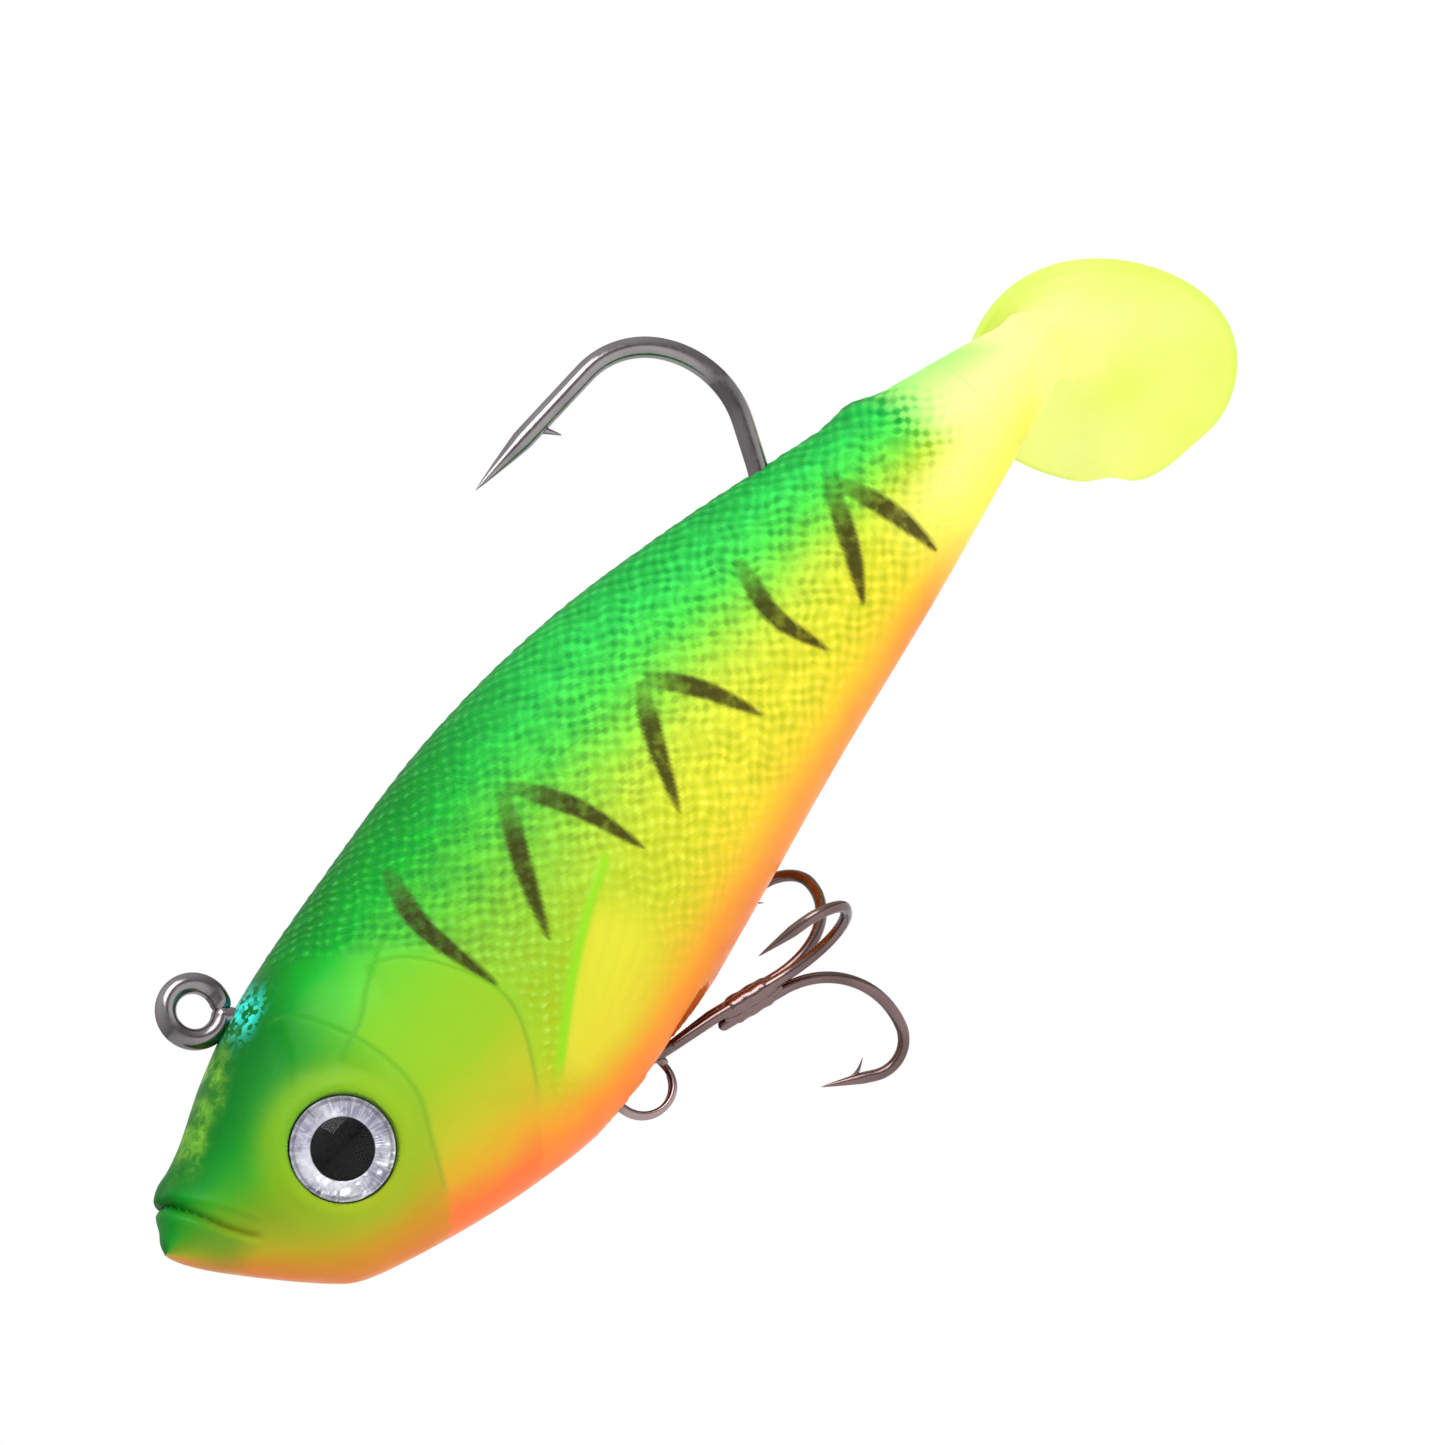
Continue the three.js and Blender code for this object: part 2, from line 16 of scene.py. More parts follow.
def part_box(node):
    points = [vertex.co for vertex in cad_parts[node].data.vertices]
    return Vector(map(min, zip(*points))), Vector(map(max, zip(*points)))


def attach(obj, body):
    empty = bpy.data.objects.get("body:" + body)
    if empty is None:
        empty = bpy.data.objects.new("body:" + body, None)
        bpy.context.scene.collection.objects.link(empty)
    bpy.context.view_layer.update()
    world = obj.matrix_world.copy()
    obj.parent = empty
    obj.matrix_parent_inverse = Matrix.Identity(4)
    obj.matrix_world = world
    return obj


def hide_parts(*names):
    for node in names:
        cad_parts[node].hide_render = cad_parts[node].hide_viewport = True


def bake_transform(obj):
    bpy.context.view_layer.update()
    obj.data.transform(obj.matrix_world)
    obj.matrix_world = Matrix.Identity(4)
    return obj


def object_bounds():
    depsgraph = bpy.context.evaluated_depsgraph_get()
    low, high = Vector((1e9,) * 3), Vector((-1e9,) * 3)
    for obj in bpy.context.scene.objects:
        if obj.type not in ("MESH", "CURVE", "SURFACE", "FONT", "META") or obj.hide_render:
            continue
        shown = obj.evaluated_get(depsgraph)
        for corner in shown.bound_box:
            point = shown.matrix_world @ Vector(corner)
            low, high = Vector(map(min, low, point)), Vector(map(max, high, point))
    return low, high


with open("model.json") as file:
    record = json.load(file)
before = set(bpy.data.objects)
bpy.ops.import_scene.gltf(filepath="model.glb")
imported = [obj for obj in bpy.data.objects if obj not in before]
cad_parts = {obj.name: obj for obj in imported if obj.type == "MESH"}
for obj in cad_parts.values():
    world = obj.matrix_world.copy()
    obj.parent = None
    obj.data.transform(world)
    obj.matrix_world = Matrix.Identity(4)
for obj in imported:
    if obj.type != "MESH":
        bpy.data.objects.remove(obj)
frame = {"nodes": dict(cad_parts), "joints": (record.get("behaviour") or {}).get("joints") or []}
cad_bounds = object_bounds()

MM = 0.001


def middle(node):
    low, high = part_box(node)
    return (low + high) / 2


# ---------- Places taken from the frame ----------

LIP_REACH = 1.7  # the lower lip stands this far ahead of the mouth's origin
EYE_DROP = 5.1  # the eyes' centres are this far below the mouth's origin
MOUTH = np.array((
    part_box("soft_body")[0].x + LIP_REACH * MM,
    0,
    middle("left_eye_foil").z + EYE_DROP * MM,
))


def metres(points):
    """Points in the fish's millimetres as points in the row frame."""
    return MOUTH + np.asarray(points, float) * MM


def joint_place(name):
    """A joint's position in the fish's millimetres."""
    joint = next(j for j in frame["joints"] if j["name"] == name)
    return (np.array(joint["pos_m"]) - MOUTH) / MM


FLEX_X = joint_place("tail_flex")[0]
WRIST = joint_place("paddle_kick")
SPLIT_CENTRE = (np.array(middle("split_ring")) - MOUTH) / MM

# ---------- Driving dimensions, in millimetres ----------

# The body's outline as (x, z) points, and its half width as (x, y) points.
BACK = [
    (-1.7, -1.9), (-1.35, -1.1), (-0.8, -0.45), (-0.35, 0.3), (0.3, 1.2), (1.2, 1.75), (2.5, 2.05),
    (4.3, 2.7), (8.6, 4.8), (14.3, 6.9), (25.7, 9.2), (37.2, 10.9), (48.6, 11.1), (60, 9.8), (70, 8),
    (77, 6.6), (88, 4),
]
BELLY = [
    (-1.7, -2), (-1.4, -2.8), (0, -5), (5.6, -11.3), (7, -12.4), (11.4, -13.9), (20, -15.8),
    (29, -16.5), (37, -15.1), (46, -12.7), (57, -9.6), (70, -6.3), (80, -3.5), (88, -1.2),
]
HALF_WIDTH = [
    (-1.7, 0.3), (-1.3, 1.2), (-0.4, 2), (0.5, 2.5), (4, 4.05), (8, 5.4), (13, 6.4), (20, 7.1),
    (30, 7.4), (40, 7.1), (50, 6.1), (60, 4.8), (68, 3.8), (74, 3.05), (80, 2.3), (88, 1.4),
]
WIDEST_SHARE = 0.45  # height of the widest line, as a share of the body's height
SKIN_START = -LIP_REACH
SKIN_SEAM = FLEX_X + 8  # the fish's skin ends here and the paddle's begins
AROUND = 240  # points round each section
SCALE_LENGTH = 1.26  # a scale and its gap, along the body
SCALE_HEIGHT = 1.12  # and around it
SCALE_RELIEF = 0.045
NUB_X = 75.2  # a low nub on the back, ahead of the paddle

EYE_CENTRE = np.array((10.7, 6.1, -5.1))
EYE_TURN = radians(12)  # the cheek faces a little forward
EYE_RADIUS = 3.6
EYE_DEPTH = 1.5
EYE_SIDES = 96  # points round an eye
FOIL_GAP = 0.3  # between the socket's floor and the foil

PADDLE_TURN = radians(48)
PADDLE_PITCH = radians(28.7)
PADDLE_RADIUS = 9.4
PADDLE_CENTRE = (6.8, 0, -2.9)  # from the wrist, before the paddle's turn

HOOK_WIRE = 0.74
TIE_CENTRE = (11.7, 8.6)
TIE_RADIUS = 1.96
NECK_HEADING = -radians(52.5)
NECK_CORNER = 1.6
SHANK_Z = 4.9
SHANK_END_X = 61.1
HOOK_RISE = {"radius": 7.5, "angle": radians(62.5), "length": 3}  # out through the back
HOOK_BEND = [(7, radians(65)), (6, radians(55.5))]  # radii and angles
POINT_LEG = 11.5
HOOK_BARB_STEPS = 25  # the barb's root is this many path points from the tip
TREBLE_BARB_STEPS = 12  # and on the treble's hooks this many

SPLIT_WIRE = 0.26
SPLIT_RADIUS = 2.19
SPLIT_PITCH = 0.56

EYELET_WIRE = 0.38
EYELET_RADIUS = 1.1
EYELET_STRETCH = 1.4  # its loop is this much taller above its middle
EYELET_REACH = SPLIT_RADIUS - SPLIT_WIRE - EYELET_WIRE - 0.12
EYELET_LEAN = radians(60)
EYELET_X = SPLIT_CENTRE[0] - EYELET_REACH * cos(EYELET_LEAN)
EYELET_BOTTOM = SPLIT_CENTRE[2] + EYELET_REACH * sin(EYELET_LEAN)

TREBLE_WIRE = 0.41
TREBLE_EYE = 1.2
TREBLE_RISE = radians(17)  # direction of its eye from the split ring's centre
TREBLE_DIP = radians(13)
TREBLE_YAW = radians(-12)
TREBLE_SHANK = 9.6
TREBLE_BEND = [(6.25, radians(21)), (5.75, radians(75)), (2.45, radians(103))]
TREBLE_POINT = 3.8
TREBLE_NEST = 0.58
TREBLE_AZIMUTHS = [radians(45.5), radians(-74.5), radians(165.5)]
BRAZE_START, BRAZE_END = 5.2, 9.7  # along the shank

# ---------- Numbers and curves ----------


def ease(low, high, value):
    """0 below low, 1 above high and a smooth rise between them."""
    share = np.clip((value - low) / (high - low), 0, 1)
    return share * share * (3 - 2 * share)


def hump(value, width):
    """1 at zero, with a bell's fall to each side."""
    return np.exp(-((value / width) ** 2))


def on_line(start, end, t, first, last):
    """The value at t on the straight line from first at start to last at end."""
    return ((end - t) * first + (t - start) * last) / (end - start)


def curve_through(keys, steps):
    """Samples of a centripetal Catmull-Rom curve through points, or through rings of points."""
    keys = [np.asarray(key, float) for key in keys]
    keys = [2 * keys[0] - keys[1], *keys, 2 * keys[-1] - keys[-2]]
    samples = []
    for a, b, c, d in zip(keys, keys[1:], keys[2:], keys[3:]):
        gaps = [np.mean(np.sum((q - p) ** 2, axis=-1)) ** 0.25 for p, q in ((a, b), (b, c), (c, d))]
        ta, tb, tc, td = np.cumsum([0, *gaps])
        for t in np.linspace(tb, tc, steps, endpoint=False):
            bc = on_line(tb, tc, t, b, c)
            abc = on_line(ta, tc, t, on_line(ta, tb, t, a, b), bc)
            bcd = on_line(tb, td, t, bc, on_line(tc, td, t, c, d))
            samples.append(on_line(tb, tc, t, abc, bcd))
    samples.append(keys[-2])
    return np.array(samples)


def smooth_function(points):
    samples = curve_through(points, 16)
    return lambda x: np.interp(x, samples[:, 0], samples[:, 1])


back_at = smooth_function(BACK)
belly_at = smooth_function(BELLY)
half_width_at = smooth_function(HALF_WIDTH)


def full_turn(count):
    """Angles evenly spread round a circle."""
    return np.linspace(0, 2 * pi, count, endpoint=False)


def unit(vector):
    return vector / np.linalg.norm(vector, axis=-1, keepdims=True)


def beside(path, x, z):
    """How places (x, z) lie by a path on the fish's side: the distance to it, signed with +
    towards the tail for a path that runs down, and the share of its length passed."""
    path = curve_through(path, 8)
    place = np.stack((x, z), axis=-1)
    nearest = np.full(x.shape, np.inf)
    signed = np.zeros(x.shape)
    passed = np.zeros(x.shape)
    for i, (start, end) in enumerate(zip(path, path[1:])):
        along = end - start
        reach = place - start
        share = np.clip(reach @ along / (along @ along), 0, 1)
        away = np.linalg.norm(reach - share[..., None] * along, axis=-1)
        side = np.sign(reach[..., 1] * along[0] - reach[..., 0] * along[1])
        closer = away < nearest
        nearest[closer] = away[closer]
        signed[closer] = (away * side)[closer]
        passed[closer] = ((i + share) / (len(path) - 1))[closer]
    return signed, passed


# ---------- Meshes ----------


def linked(name, data):
    made = bpy.data.objects.new(name, data)
    bpy.context.scene.collection.objects.link(made)
    return made


def mesh_object(name, points, faces):
    mesh = bpy.data.meshes.new(name)
    mesh.from_pydata(metres(points).tolist(), [], faces)
    mesh.validate()
    mesh.shade_smooth()
    mesh.set_sharp_from_angle(angle=radians(50))
    return linked(name, mesh)


def loft(name, rings):
    """A closed skin through equal rings of points, with a fan over each end."""
    rings = np.asarray(rings)
    total, count = rings.shape[:2]
    faces = []
    for row in range(total - 1):
        for j in range(count):
            here = row * count + j
            there = row * count + (j + 1) % count
            faces.append((here, there, there + count, here + count))
    points = np.concatenate((rings.reshape(-1, 3), [rings[0].mean(0), rings[-1].mean(0)]))
    last = (total - 1) * count
    for j in range(count):
        beyond = (j + 1) % count
        faces.append((beyond, j, total * count))
        faces.append((last + j, last + beyond, total * count + 1))
    return mesh_object(name, points, faces)


def wire(name, path, radius_at, sides, squash=1.0):
    """A round wire along a path, with domed ends. radius_at gives the radius from the point's
    number, and squash flattens the wire sideways."""
    path = np.asarray(path, float)
    along = unit(np.gradient(path, axis=0))
    across = np.array((0.0, 1.0, 0.0))
    if abs(along[0] @ across) > 0.9:
        across = np.array((1.0, 0.0, 0.0))
    turns = full_turn(sides)
    rings = []
    for i, (point, heading) in enumerate(zip(path, along)):
        across = unit(across - (across @ heading) * heading)
        inward = np.cross(heading, across)
        circle = np.outer(np.cos(turns), inward) + squash * np.outer(np.sin(turns), across)
        ring = point + radius_at(i) * circle
        if i == 0:
            rings += dome_rings(point, -heading, circle, radius_at(0))
        rings.append(ring)
        if i == len(path) - 1:
            rings += dome_rings(point, heading, circle, radius_at(i))[::-1]
    return loft(name, rings)


def dome_rings(point, heading, circle, radius, steps=3):
    """Rings from the top of a dome down to, but without, its rim."""
    angles = [radians(80 - 80 * i / steps) for i in range(steps)]
    return [point + radius * (sin(a) * heading + cos(a) * circle) for a in angles]


def lathe_rings(profile, centre, axis):
    """Rings of (radius, height) points round a level axis."""
    turns = full_turn(EYE_SIDES)
    up = np.array((0, 0, 1.0))
    circle = np.outer(np.cos(turns), up) + np.outer(np.sin(turns), np.cross(axis, up))
    return [centre + height * axis + max(radius, 0.01) * circle for radius, height in profile]


def join(name, pieces):
    """One object from several, named after what they make together."""
    whole = bmesh.new()
    for piece in pieces:
        whole.from_mesh(piece.data)
        bpy.data.objects.remove(piece)
    mesh = bpy.data.meshes.new(name)
    whole.to_mesh(mesh)
    whole.free()
    mesh.shade_smooth()
    return linked(name, mesh)


def set_masks(made, masks):
    """Stores values laid out like the rings of a loft. Its two end points get their ring's mean."""
    for name, values in masks.items():
        ends = (values[0].mean(), values[-1].mean())
        attribute = made.data.attributes.new(name, "FLOAT", "POINT")
        attribute.data.foreach_set("value", np.concatenate((np.ravel(values), ends)).astype(np.float32))


class Walk:
    """A flat path: line() goes straight and turn() bends left, in small steps."""

    ARC_STEP = radians(4)

    def __init__(self, x, y, heading):
        self.points = [(x, y)]
        self.heading = heading

    def step(self, length):
        x, y = self.points[-1]
        self.points.append((x + length * cos(self.heading), y + length * sin(self.heading)))

    def line(self, length, steps=1):
        for _ in range(steps):
            self.step(length / steps)
        return self

    def turn(self, radius, angle):
        steps = max(2, round(angle / self.ARC_STEP))
        for _ in range(steps):
            self.heading += angle / steps / 2
            self.step(2 * radius * sin(angle / steps / 2))
            self.heading += angle / steps / 2
        return self


# ---------- The fish's skin ----------

MOUTH_SLIT = [(-0.5, 1.0), (0.2, 0.6), (0.55, -0.2), (0.95, -1.2), (1.75, -3.5), (2.5, -4.9), (3.2, -6)]
LIP_FOLD = [(-0.2, 1.0), (0.65, 0.45), (2.3, -1.95), (4.1, -5.5)]
CHEEK_RIDGE = [(13.6, 4.6), (15, 3.7), (16.85, -1), (17, -5.5), (15.6, -8.7), (14.6, -11), (14, -12.7)]
GILL_FRONT = [(23.5, 3.4), (21.4, 2.4), (19.6, 1.5), (18, 0.4), (16, -0.3), (14.5, -0.8)]
GILL_EDGE = [(20.6, 2.7), (23.3, 1), (26, -4.8), (25.6, -7.2), (24.3, -9.8), (22.7, -12.6)]
HEAD_EDGE = [(14, 10), (17, 6.5), (21, 3.2), (23.3, 1), (26, -4.8), (25.6, -7.2), (24, -10.5), (21, -17)]
GILL_FOLD = [(22.3, -8.9), (20, -11.2), (17.6, -12.9)]
FIN_RIDGE = [(38.8, -2.9), (34.4, -5.1), (30.2, -7.7), (24.5, -12.2)]
FIN_LENGTH = 13.0
FIN_RAYS = 75  # they would fill a full turn round the fin's root
STRIPES = [
    [(27.1, 6.5), (25.6, 2.2), (26.2, -4.6)],
    [(36.6, 5), (33.6, 0.4), (31, -4.7)],
    [(36.9, 5), (39.1, 0.7), (40.6, -4.7)],
    [(49.1, 3.8), (46.6, 0), (44.2, -4.7)],
    [(49.4, 3.8), (51.7, 0.6), (53.8, -3.8)],
    [(60.7, 5.2), (59.5, 0.6), (60.7, -3.7)],
    [(69.8, 5), (67.2, 0.4), (64.9, -3.2)],
    [(69.9, 4.6), (71.2, 0), (71.9, -4)],
]
STRIPE_HALF_WIDTH = 0.72
SLIT_WIDTH = 0.26


def skin_stations():
    """Places along the body for the skin's rings, close together round the nose."""
    nose = SKIN_START + 3 * (1 - np.cos(np.linspace(0, pi / 2, 22)))
    return np.concatenate((nose[:-1], np.arange(nose[-1], SKIN_SEAM, 0.21), [SKIN_SEAM]))


def section(x):
    """One ring of evenly spaced points at x, and how far round each is from the widest line,
    + towards the back and - towards the belly."""
    low, high = belly_at(x), back_at(x)
    widest = low + WIDEST_SHARE * (high - low)
    turns = np.linspace(0, 2 * pi, 721)
    reach = np.where(np.sin(turns) > 0, high - widest, widest - low)
    y = half_width_at(x) * np.cos(turns)
    z = widest + reach * np.sin(turns)
    passed = np.concatenate(([0], np.cumsum(np.hypot(np.diff(y), np.diff(z)))))
    stops = np.linspace(0, passed[-1], AROUND, endpoint=False)
    half_way = passed[len(turns) // 2]
    above = np.minimum(stops, half_way - stops)
    below = np.minimum(stops - half_way, passed[-1] - stops)
    ring = np.stack((np.full(AROUND, x), np.interp(stops, passed, y), np.interp(stops, passed, z)), axis=1)
    return ring, np.where(stops < half_way, above, -below)


def surface_normals(rings):
    """Outward normals of a ring surface that runs along +x."""
    along = np.gradient(rings, axis=0)
    around = (np.roll(rings, -1, axis=1) - np.roll(rings, 1, axis=1)) / 2
    return unit(np.cross(around, along))


def groove(path, x, z, width):
    signed, passed = beside(path, x, z)
    return hump(signed, width) * ease(0, 0.03, passed) * ease(1, 0.85, passed)


def ledge(path, x, z, width, fall):
    """A step along a path: high on the head's side, where it dies away over `fall`."""
    signed, passed = beside(path, x, z)
    raised = ease(width, -width, signed) * np.exp(np.minimum(signed, 0) / fall)
    return raised * (ease(0, 0.12, passed) * ease(1, 0.85, passed))


def fin_masks(x, z):
    """Where the side fin's front ridge and its rayed field are, and its rays."""
    signed, passed = beside(FIN_RIDGE, x, z)
    ridge = hump(signed, 0.32) * ease(0, 0.1, passed) * ease(1, 0.9, passed)
    root = np.array(FIN_RIDGE[-1]) + (-1.5, -2)
    spread = np.arctan2(z - root[1], x - root[0])
    reach = np.hypot(x - root[0], z - root[1])
    below = ease(0, 0.5, signed) * ease(8.5, 3, signed)
    field = below * ease(FIN_LENGTH + 5, FIN_LENGTH, reach) * ease(2, 5, reach) * ease(-14.5, -12, z)
    rays = np.cos(spread * FIN_RAYS)
    return ridge, field, rays


def stripe_mask(x, z):
    total = np.zeros(x.shape)
    for path in STRIPES:
        signed, passed = beside(path, x, z)
        half = STRIPE_HALF_WIDTH * np.sin(pi * np.clip(passed, 0.04, 1) ** 0.7) ** 0.6
        inside = ease(half + 0.16, half - 0.16, np.abs(signed)) * ease(1.0, 0.985, passed)
        total = np.maximum(total, inside * (0.45 + 0.55 * ease(0.05, 0.4, passed)) * ease(0, 0.02, passed))
    return total


def eye_place(side):
    """The eye's centre and its outward axis, on the fish's right (side 1) or left (side -1)."""
    mirror = np.array((1, side, 1))
    return EYE_CENTRE * mirror, mirror * (-sin(EYE_TURN), cos(EYE_TURN), 0)


def drawn_to(rim, values, spread, power):
    """Draws values within spread of a rim closer to it, so that more points lie along its edge.
    Gives the new values and where they changed."""
    offset = (values - rim) / spread
    near = np.abs(offset) < 1
    drawn = rim + spread * np.sign(offset) * np.abs(offset) ** power
    return np.where(near, drawn, values), near


def sink_socket(rings, side):
    """Opens the eye socket on one side and raises a soft rim round it."""
    centre, axis = eye_place(side)
    from_eye = rings - centre
    height = from_eye @ axis
    radial = from_eye - height[..., None] * axis
    radius = np.linalg.norm(radial, axis=-1)
    here = (radius < EYE_RADIUS + 5) & (rings[..., 1] * side > 0)
    rim = EYE_RADIUS + 0.12
    new_radius, _ = drawn_to(rim, radius, 0.9, 1.7)
    level = height + 0.45 * hump(new_radius - rim - 0.55, 0.75)
    lip = ease(rim + 0.05, rim - 0.05, new_radius)
    new_height = level * (1 - lip) - EYE_DEPTH * lip
    outward = radial / np.maximum(radius, 1e-6)[..., None]
    moved = centre + new_radius[..., None] * outward + new_height[..., None] * axis
    return np.where(here[..., None], moved, rings), np.where(here, radius, 99.0)


def open_belly(rings):
    """Opens the slot in the belly for the eyelet, the split ring and the treble's eye."""
    half_length, half_width, depth = 6.0, 1.8, 3.4
    belly_top = -10  # only the belly lies below this height
    middle_x = SPLIT_CENTRE[0] + 1.6
    middle_y = np.maximum(rings[..., 0] - SPLIT_CENTRE[0] - 2, 0) * tan(TREBLE_YAW)
    x = (rings[..., 0] - middle_x) / half_length
    y = (rings[..., 1] - middle_y) / half_width
    out = np.hypot(x, y)
    below = rings[..., 2] < belly_top
    drawn, near = drawn_to(1, out, 0.35, 1.6)
    grow = np.where(near & below, drawn / np.maximum(out, 1e-6), 1)
    moved = rings.copy()
    moved[..., 0] = middle_x + (rings[..., 0] - middle_x) * grow
    moved[..., 1] = middle_y + (rings[..., 1] - middle_y) * grow
    sunk = ease(1.06, 0.94, out * grow) * below
    moved[..., 2] += depth * sunk
    return moved, sunk


def wander(along, across):
    """A slow, uneven drift of about one either way."""
    first = np.sin(1.3 * along + 2.1 * np.sin(0.9 * across))
    second = np.sin(1.9 * across + 1.7 * np.sin(0.8 * along))
    return 0.5 * first + 0.5 * second


def scale_cells(x, girth):
    """Uneven rows of scales: + in the pits between them and - on their crowns."""
    row = np.cos(2 * pi * x / SCALE_LENGTH + 1.3 * wander(x, girth))
    column = np.cos(2 * pi * girth / SCALE_HEIGHT + 1.3 * wander(girth + 7, x))
    return row * column * (0.8 + 0.2 * wander(2.3 * x, 2.1 * girth + 3))


def level_at(x, z):
    """Heights as shares of the body's height at x: 0 on the belly and 1 on the back."""
    return (z - belly_at(x)) / np.maximum(back_at(x) - belly_at(x), 0.1)


def mouth_rise(x, y, z):
    """How far the mouth's slit, the lips beside it and the fold behind them lift the skin."""
    away, passed = beside(MOUTH_SLIT, x, z)
    off_centre = ease(0.8, 2, np.abs(y))
    lips = hump(np.abs(away) - 0.75, 0.4) * ease(0.75, 0.3, passed) * off_centre
    fold = ledge(LIP_FOLD[::-1], x, z, 0.2, 1.2) * off_centre
    return 0.22 * lips + 0.2 * fold - 0.5 * groove(MOUTH_SLIT, x, z, SLIT_WIDTH)


def head_rise(x, z):
    """How far the cheek and the gill plate lift the skin."""
    cheek = ledge(CHEEK_RIDGE, x, z, 0.3, 3.2)
    gill = ledge(GILL_EDGE, x, z, 0.22, 5)
    gill_front = ledge(GILL_FRONT[::-1], x, z, 0.25, 2)
    return 0.34 * cheek + 0.5 * gill + 0.2 * gill_front - 0.12 * groove(GILL_FOLD, x, z, 0.5)


def scaly_mask(x, z):
    """Where scales cover the skin: behind the head, above the belly and ahead of the seam."""
    behind_head, _ = beside(HEAD_EDGE, x, z)
    level = level_at(x, z)
    return ease(0.1, 1.6, behind_head) * ease(0.06, 0.24, level) * ease(SKIN_SEAM + 3, SKIN_SEAM - 5, x)


def head_masks(x, z, level, out):
    """Where the head's painted marks are. out is the distance from the centre plane."""
    away, passed = beside(MOUTH_SLIT, x, z)
    edges = (GILL_EDGE, CHEEK_RIDGE, GILL_FRONT)
    gill, cheek, front = (beside(path, x, z)[0] for path in edges)
    return {
        "slit": groove(MOUTH_SLIT, x, z, SLIT_WIDTH) * ease(0.9, 0.25, passed),
        # Painted shadow on the lower lip, just below the mouth's slit.
        "lip_shadow": ease(0, 0.6, -away) * ease(1, 0.7, passed) * ease(3.2, 1.2, np.abs(away)),
        "forehead": hump(x - 7.2, 3.4) * ease(0.78, 0.9, level) * ease(3.4, 2.2, out),
        "glint": hump(x - 13.6, 1.5) * ease(0.8, 0.9, level) * ease(3.6, 2.4, out),
        # Painted shade along the grooves at the cheek's and the gill plate's edges.
        "crease_shade": np.max([groove(path, x, z, 0.2) for path in edges], axis=0),
        "gill_plate": ease(0.5, -0.3, gill) * ease(-0.4, 0.6, cheek) * ease(-0.2, 0.4, front),
    }


def fish_skin():
    sections = [section(x) for x in skin_stations()]
    rings = np.array([ring for ring, _ in sections])
    girth = np.array([around for _, around in sections])
    x, y, z = np.moveaxis(rings, -1, 0)
    side = ease(0, 1.5, np.abs(y))
    level = level_at(x, z)
    ridge, field, rays = fin_masks(x, z)
    scaly = scaly_mask(x, z) * (1 - field) * (1 - ridge)
    cells = scale_cells(x, girth)
    nub = hump(x - NUB_X, 1.6) * ease(0.75, 1, level)

    rise = mouth_rise(x, y, z) + side * head_rise(x, z)
    rise += 0.22 * ridge + 0.12 * field + 0.06 * field * rays
    rise += 0.5 * nub - SCALE_RELIEF * scaly * cells
    shaped = rings + rise[..., None] * surface_normals(rings)
    shaped, belly_hollow = open_belly(shaped)
    shaped, right_radius = sink_socket(shaped, 1)
    shaped, left_radius = sink_socket(shaped, -1)
    eye_radius = np.minimum(left_radius, right_radius)

    masks = head_masks(x, z, level, np.abs(shaped[..., 1]))
    # The belly's slot gets the same painted shade as the mouth's slit.
    masks["slit"] = np.maximum(masks["slit"], 0.6 * belly_hollow)
    masks["crease_shade"] = masks["crease_shade"] * side
    masks |= {"along": x, "level": level, "pits": cells, "scaly": scaly}
    masks |= {"stripe": stripe_mask(x, z) * side, "fin_ridge": ridge, "fin_field": field}
    masks["halo"] = hump(eye_radius - 4.6, 1.3)
    masks["socket"] = ease(EYE_RADIUS + 0.5, EYE_RADIUS + 0.1, eye_radius)
    made = loft("soft_skin", shaped)
    set_masks(made, masks)
    return made


# ---------- The paddle's skin ----------


def turned(points, angle):
    """Points turned about the upright axis through the wrist."""
    c, s = cos(angle), sin(angle)
    return np.asarray(points) @ np.array(((c, s, 0), (-s, c, 0), (0, 0, 1))) + (WRIST[0], 0, 0)


def stem_ring(x, angle, spread=1.0):
    """A section of the stem's thin end, x behind the wrist, with the stem bent by angle."""
    ring, _ = section(WRIST[0])
    flat = ring - (WRIST[0], 0, 0)
    flat[:, 0] = x
    centre = flat.mean(0)
    return turned(centre + (flat - centre) * spread, angle)


def paddle_ring(share, offset):
    """A ring on the paddle, from the stem's foot at share 0 to the rim at share 1. offset is
    the distance from the paddle's middle plane, + towards the head."""
    normal = np.array((-cos(PADDLE_PITCH), 0, -sin(PADDLE_PITCH)))
    up = np.array((-sin(PADDLE_PITCH), 0, cos(PADDLE_PITCH)))
    sideways = np.array((0, 1, 0))
    turns = full_turn(AROUND)
    foot_up, foot_wide, foot_tall = 4.7, 1.8, 2.9
    wide = foot_wide + (PADDLE_RADIUS - foot_wide) * share
    tall = foot_tall + (PADDLE_RADIUS - foot_tall) * share
    across = wide * np.cos(turns)
    upright = tall * np.sin(turns) + foot_up * (1 - share)
    out = np.hypot(across, upright) / PADDLE_RADIUS
    cup = 1.1 * (out ** 2 - 1) - 0.3 * out ** 2 * np.cos(3 * turns + 0.6)
    kink = 0.9 * hump(turns - radians(312), 0.25) * ease(0.5, 1, out)
    shrink = 1 - (0.11 * hump(turns - radians(314), 0.17) + 0.04 * hump(turns - radians(275), 0.25)) * share
    flat = np.outer(across * shrink, sideways) + np.outer(upright * shrink, up)
    flat = flat + np.outer(offset + cup + kink, normal)
    return turned(flat + PADDLE_CENTRE, PADDLE_TURN)


def soften(rings, first, last, passes):
    """Rounds the rings from first to last into each other, as a moulded fillet does."""
    share = hump(np.arange(last - first) - (last - first) / 2, (last - first) / 3)[:, None, None]
    for _ in range(passes):
        here = rings[first:last]
        around = (np.roll(here, 1, axis=1) + np.roll(here, -1, axis=1)) / 4
        along = (rings[first - 1:last - 1] + rings[first + 1:last + 1]) / 4
        rings[first:last] = here + share * (around + along - here)


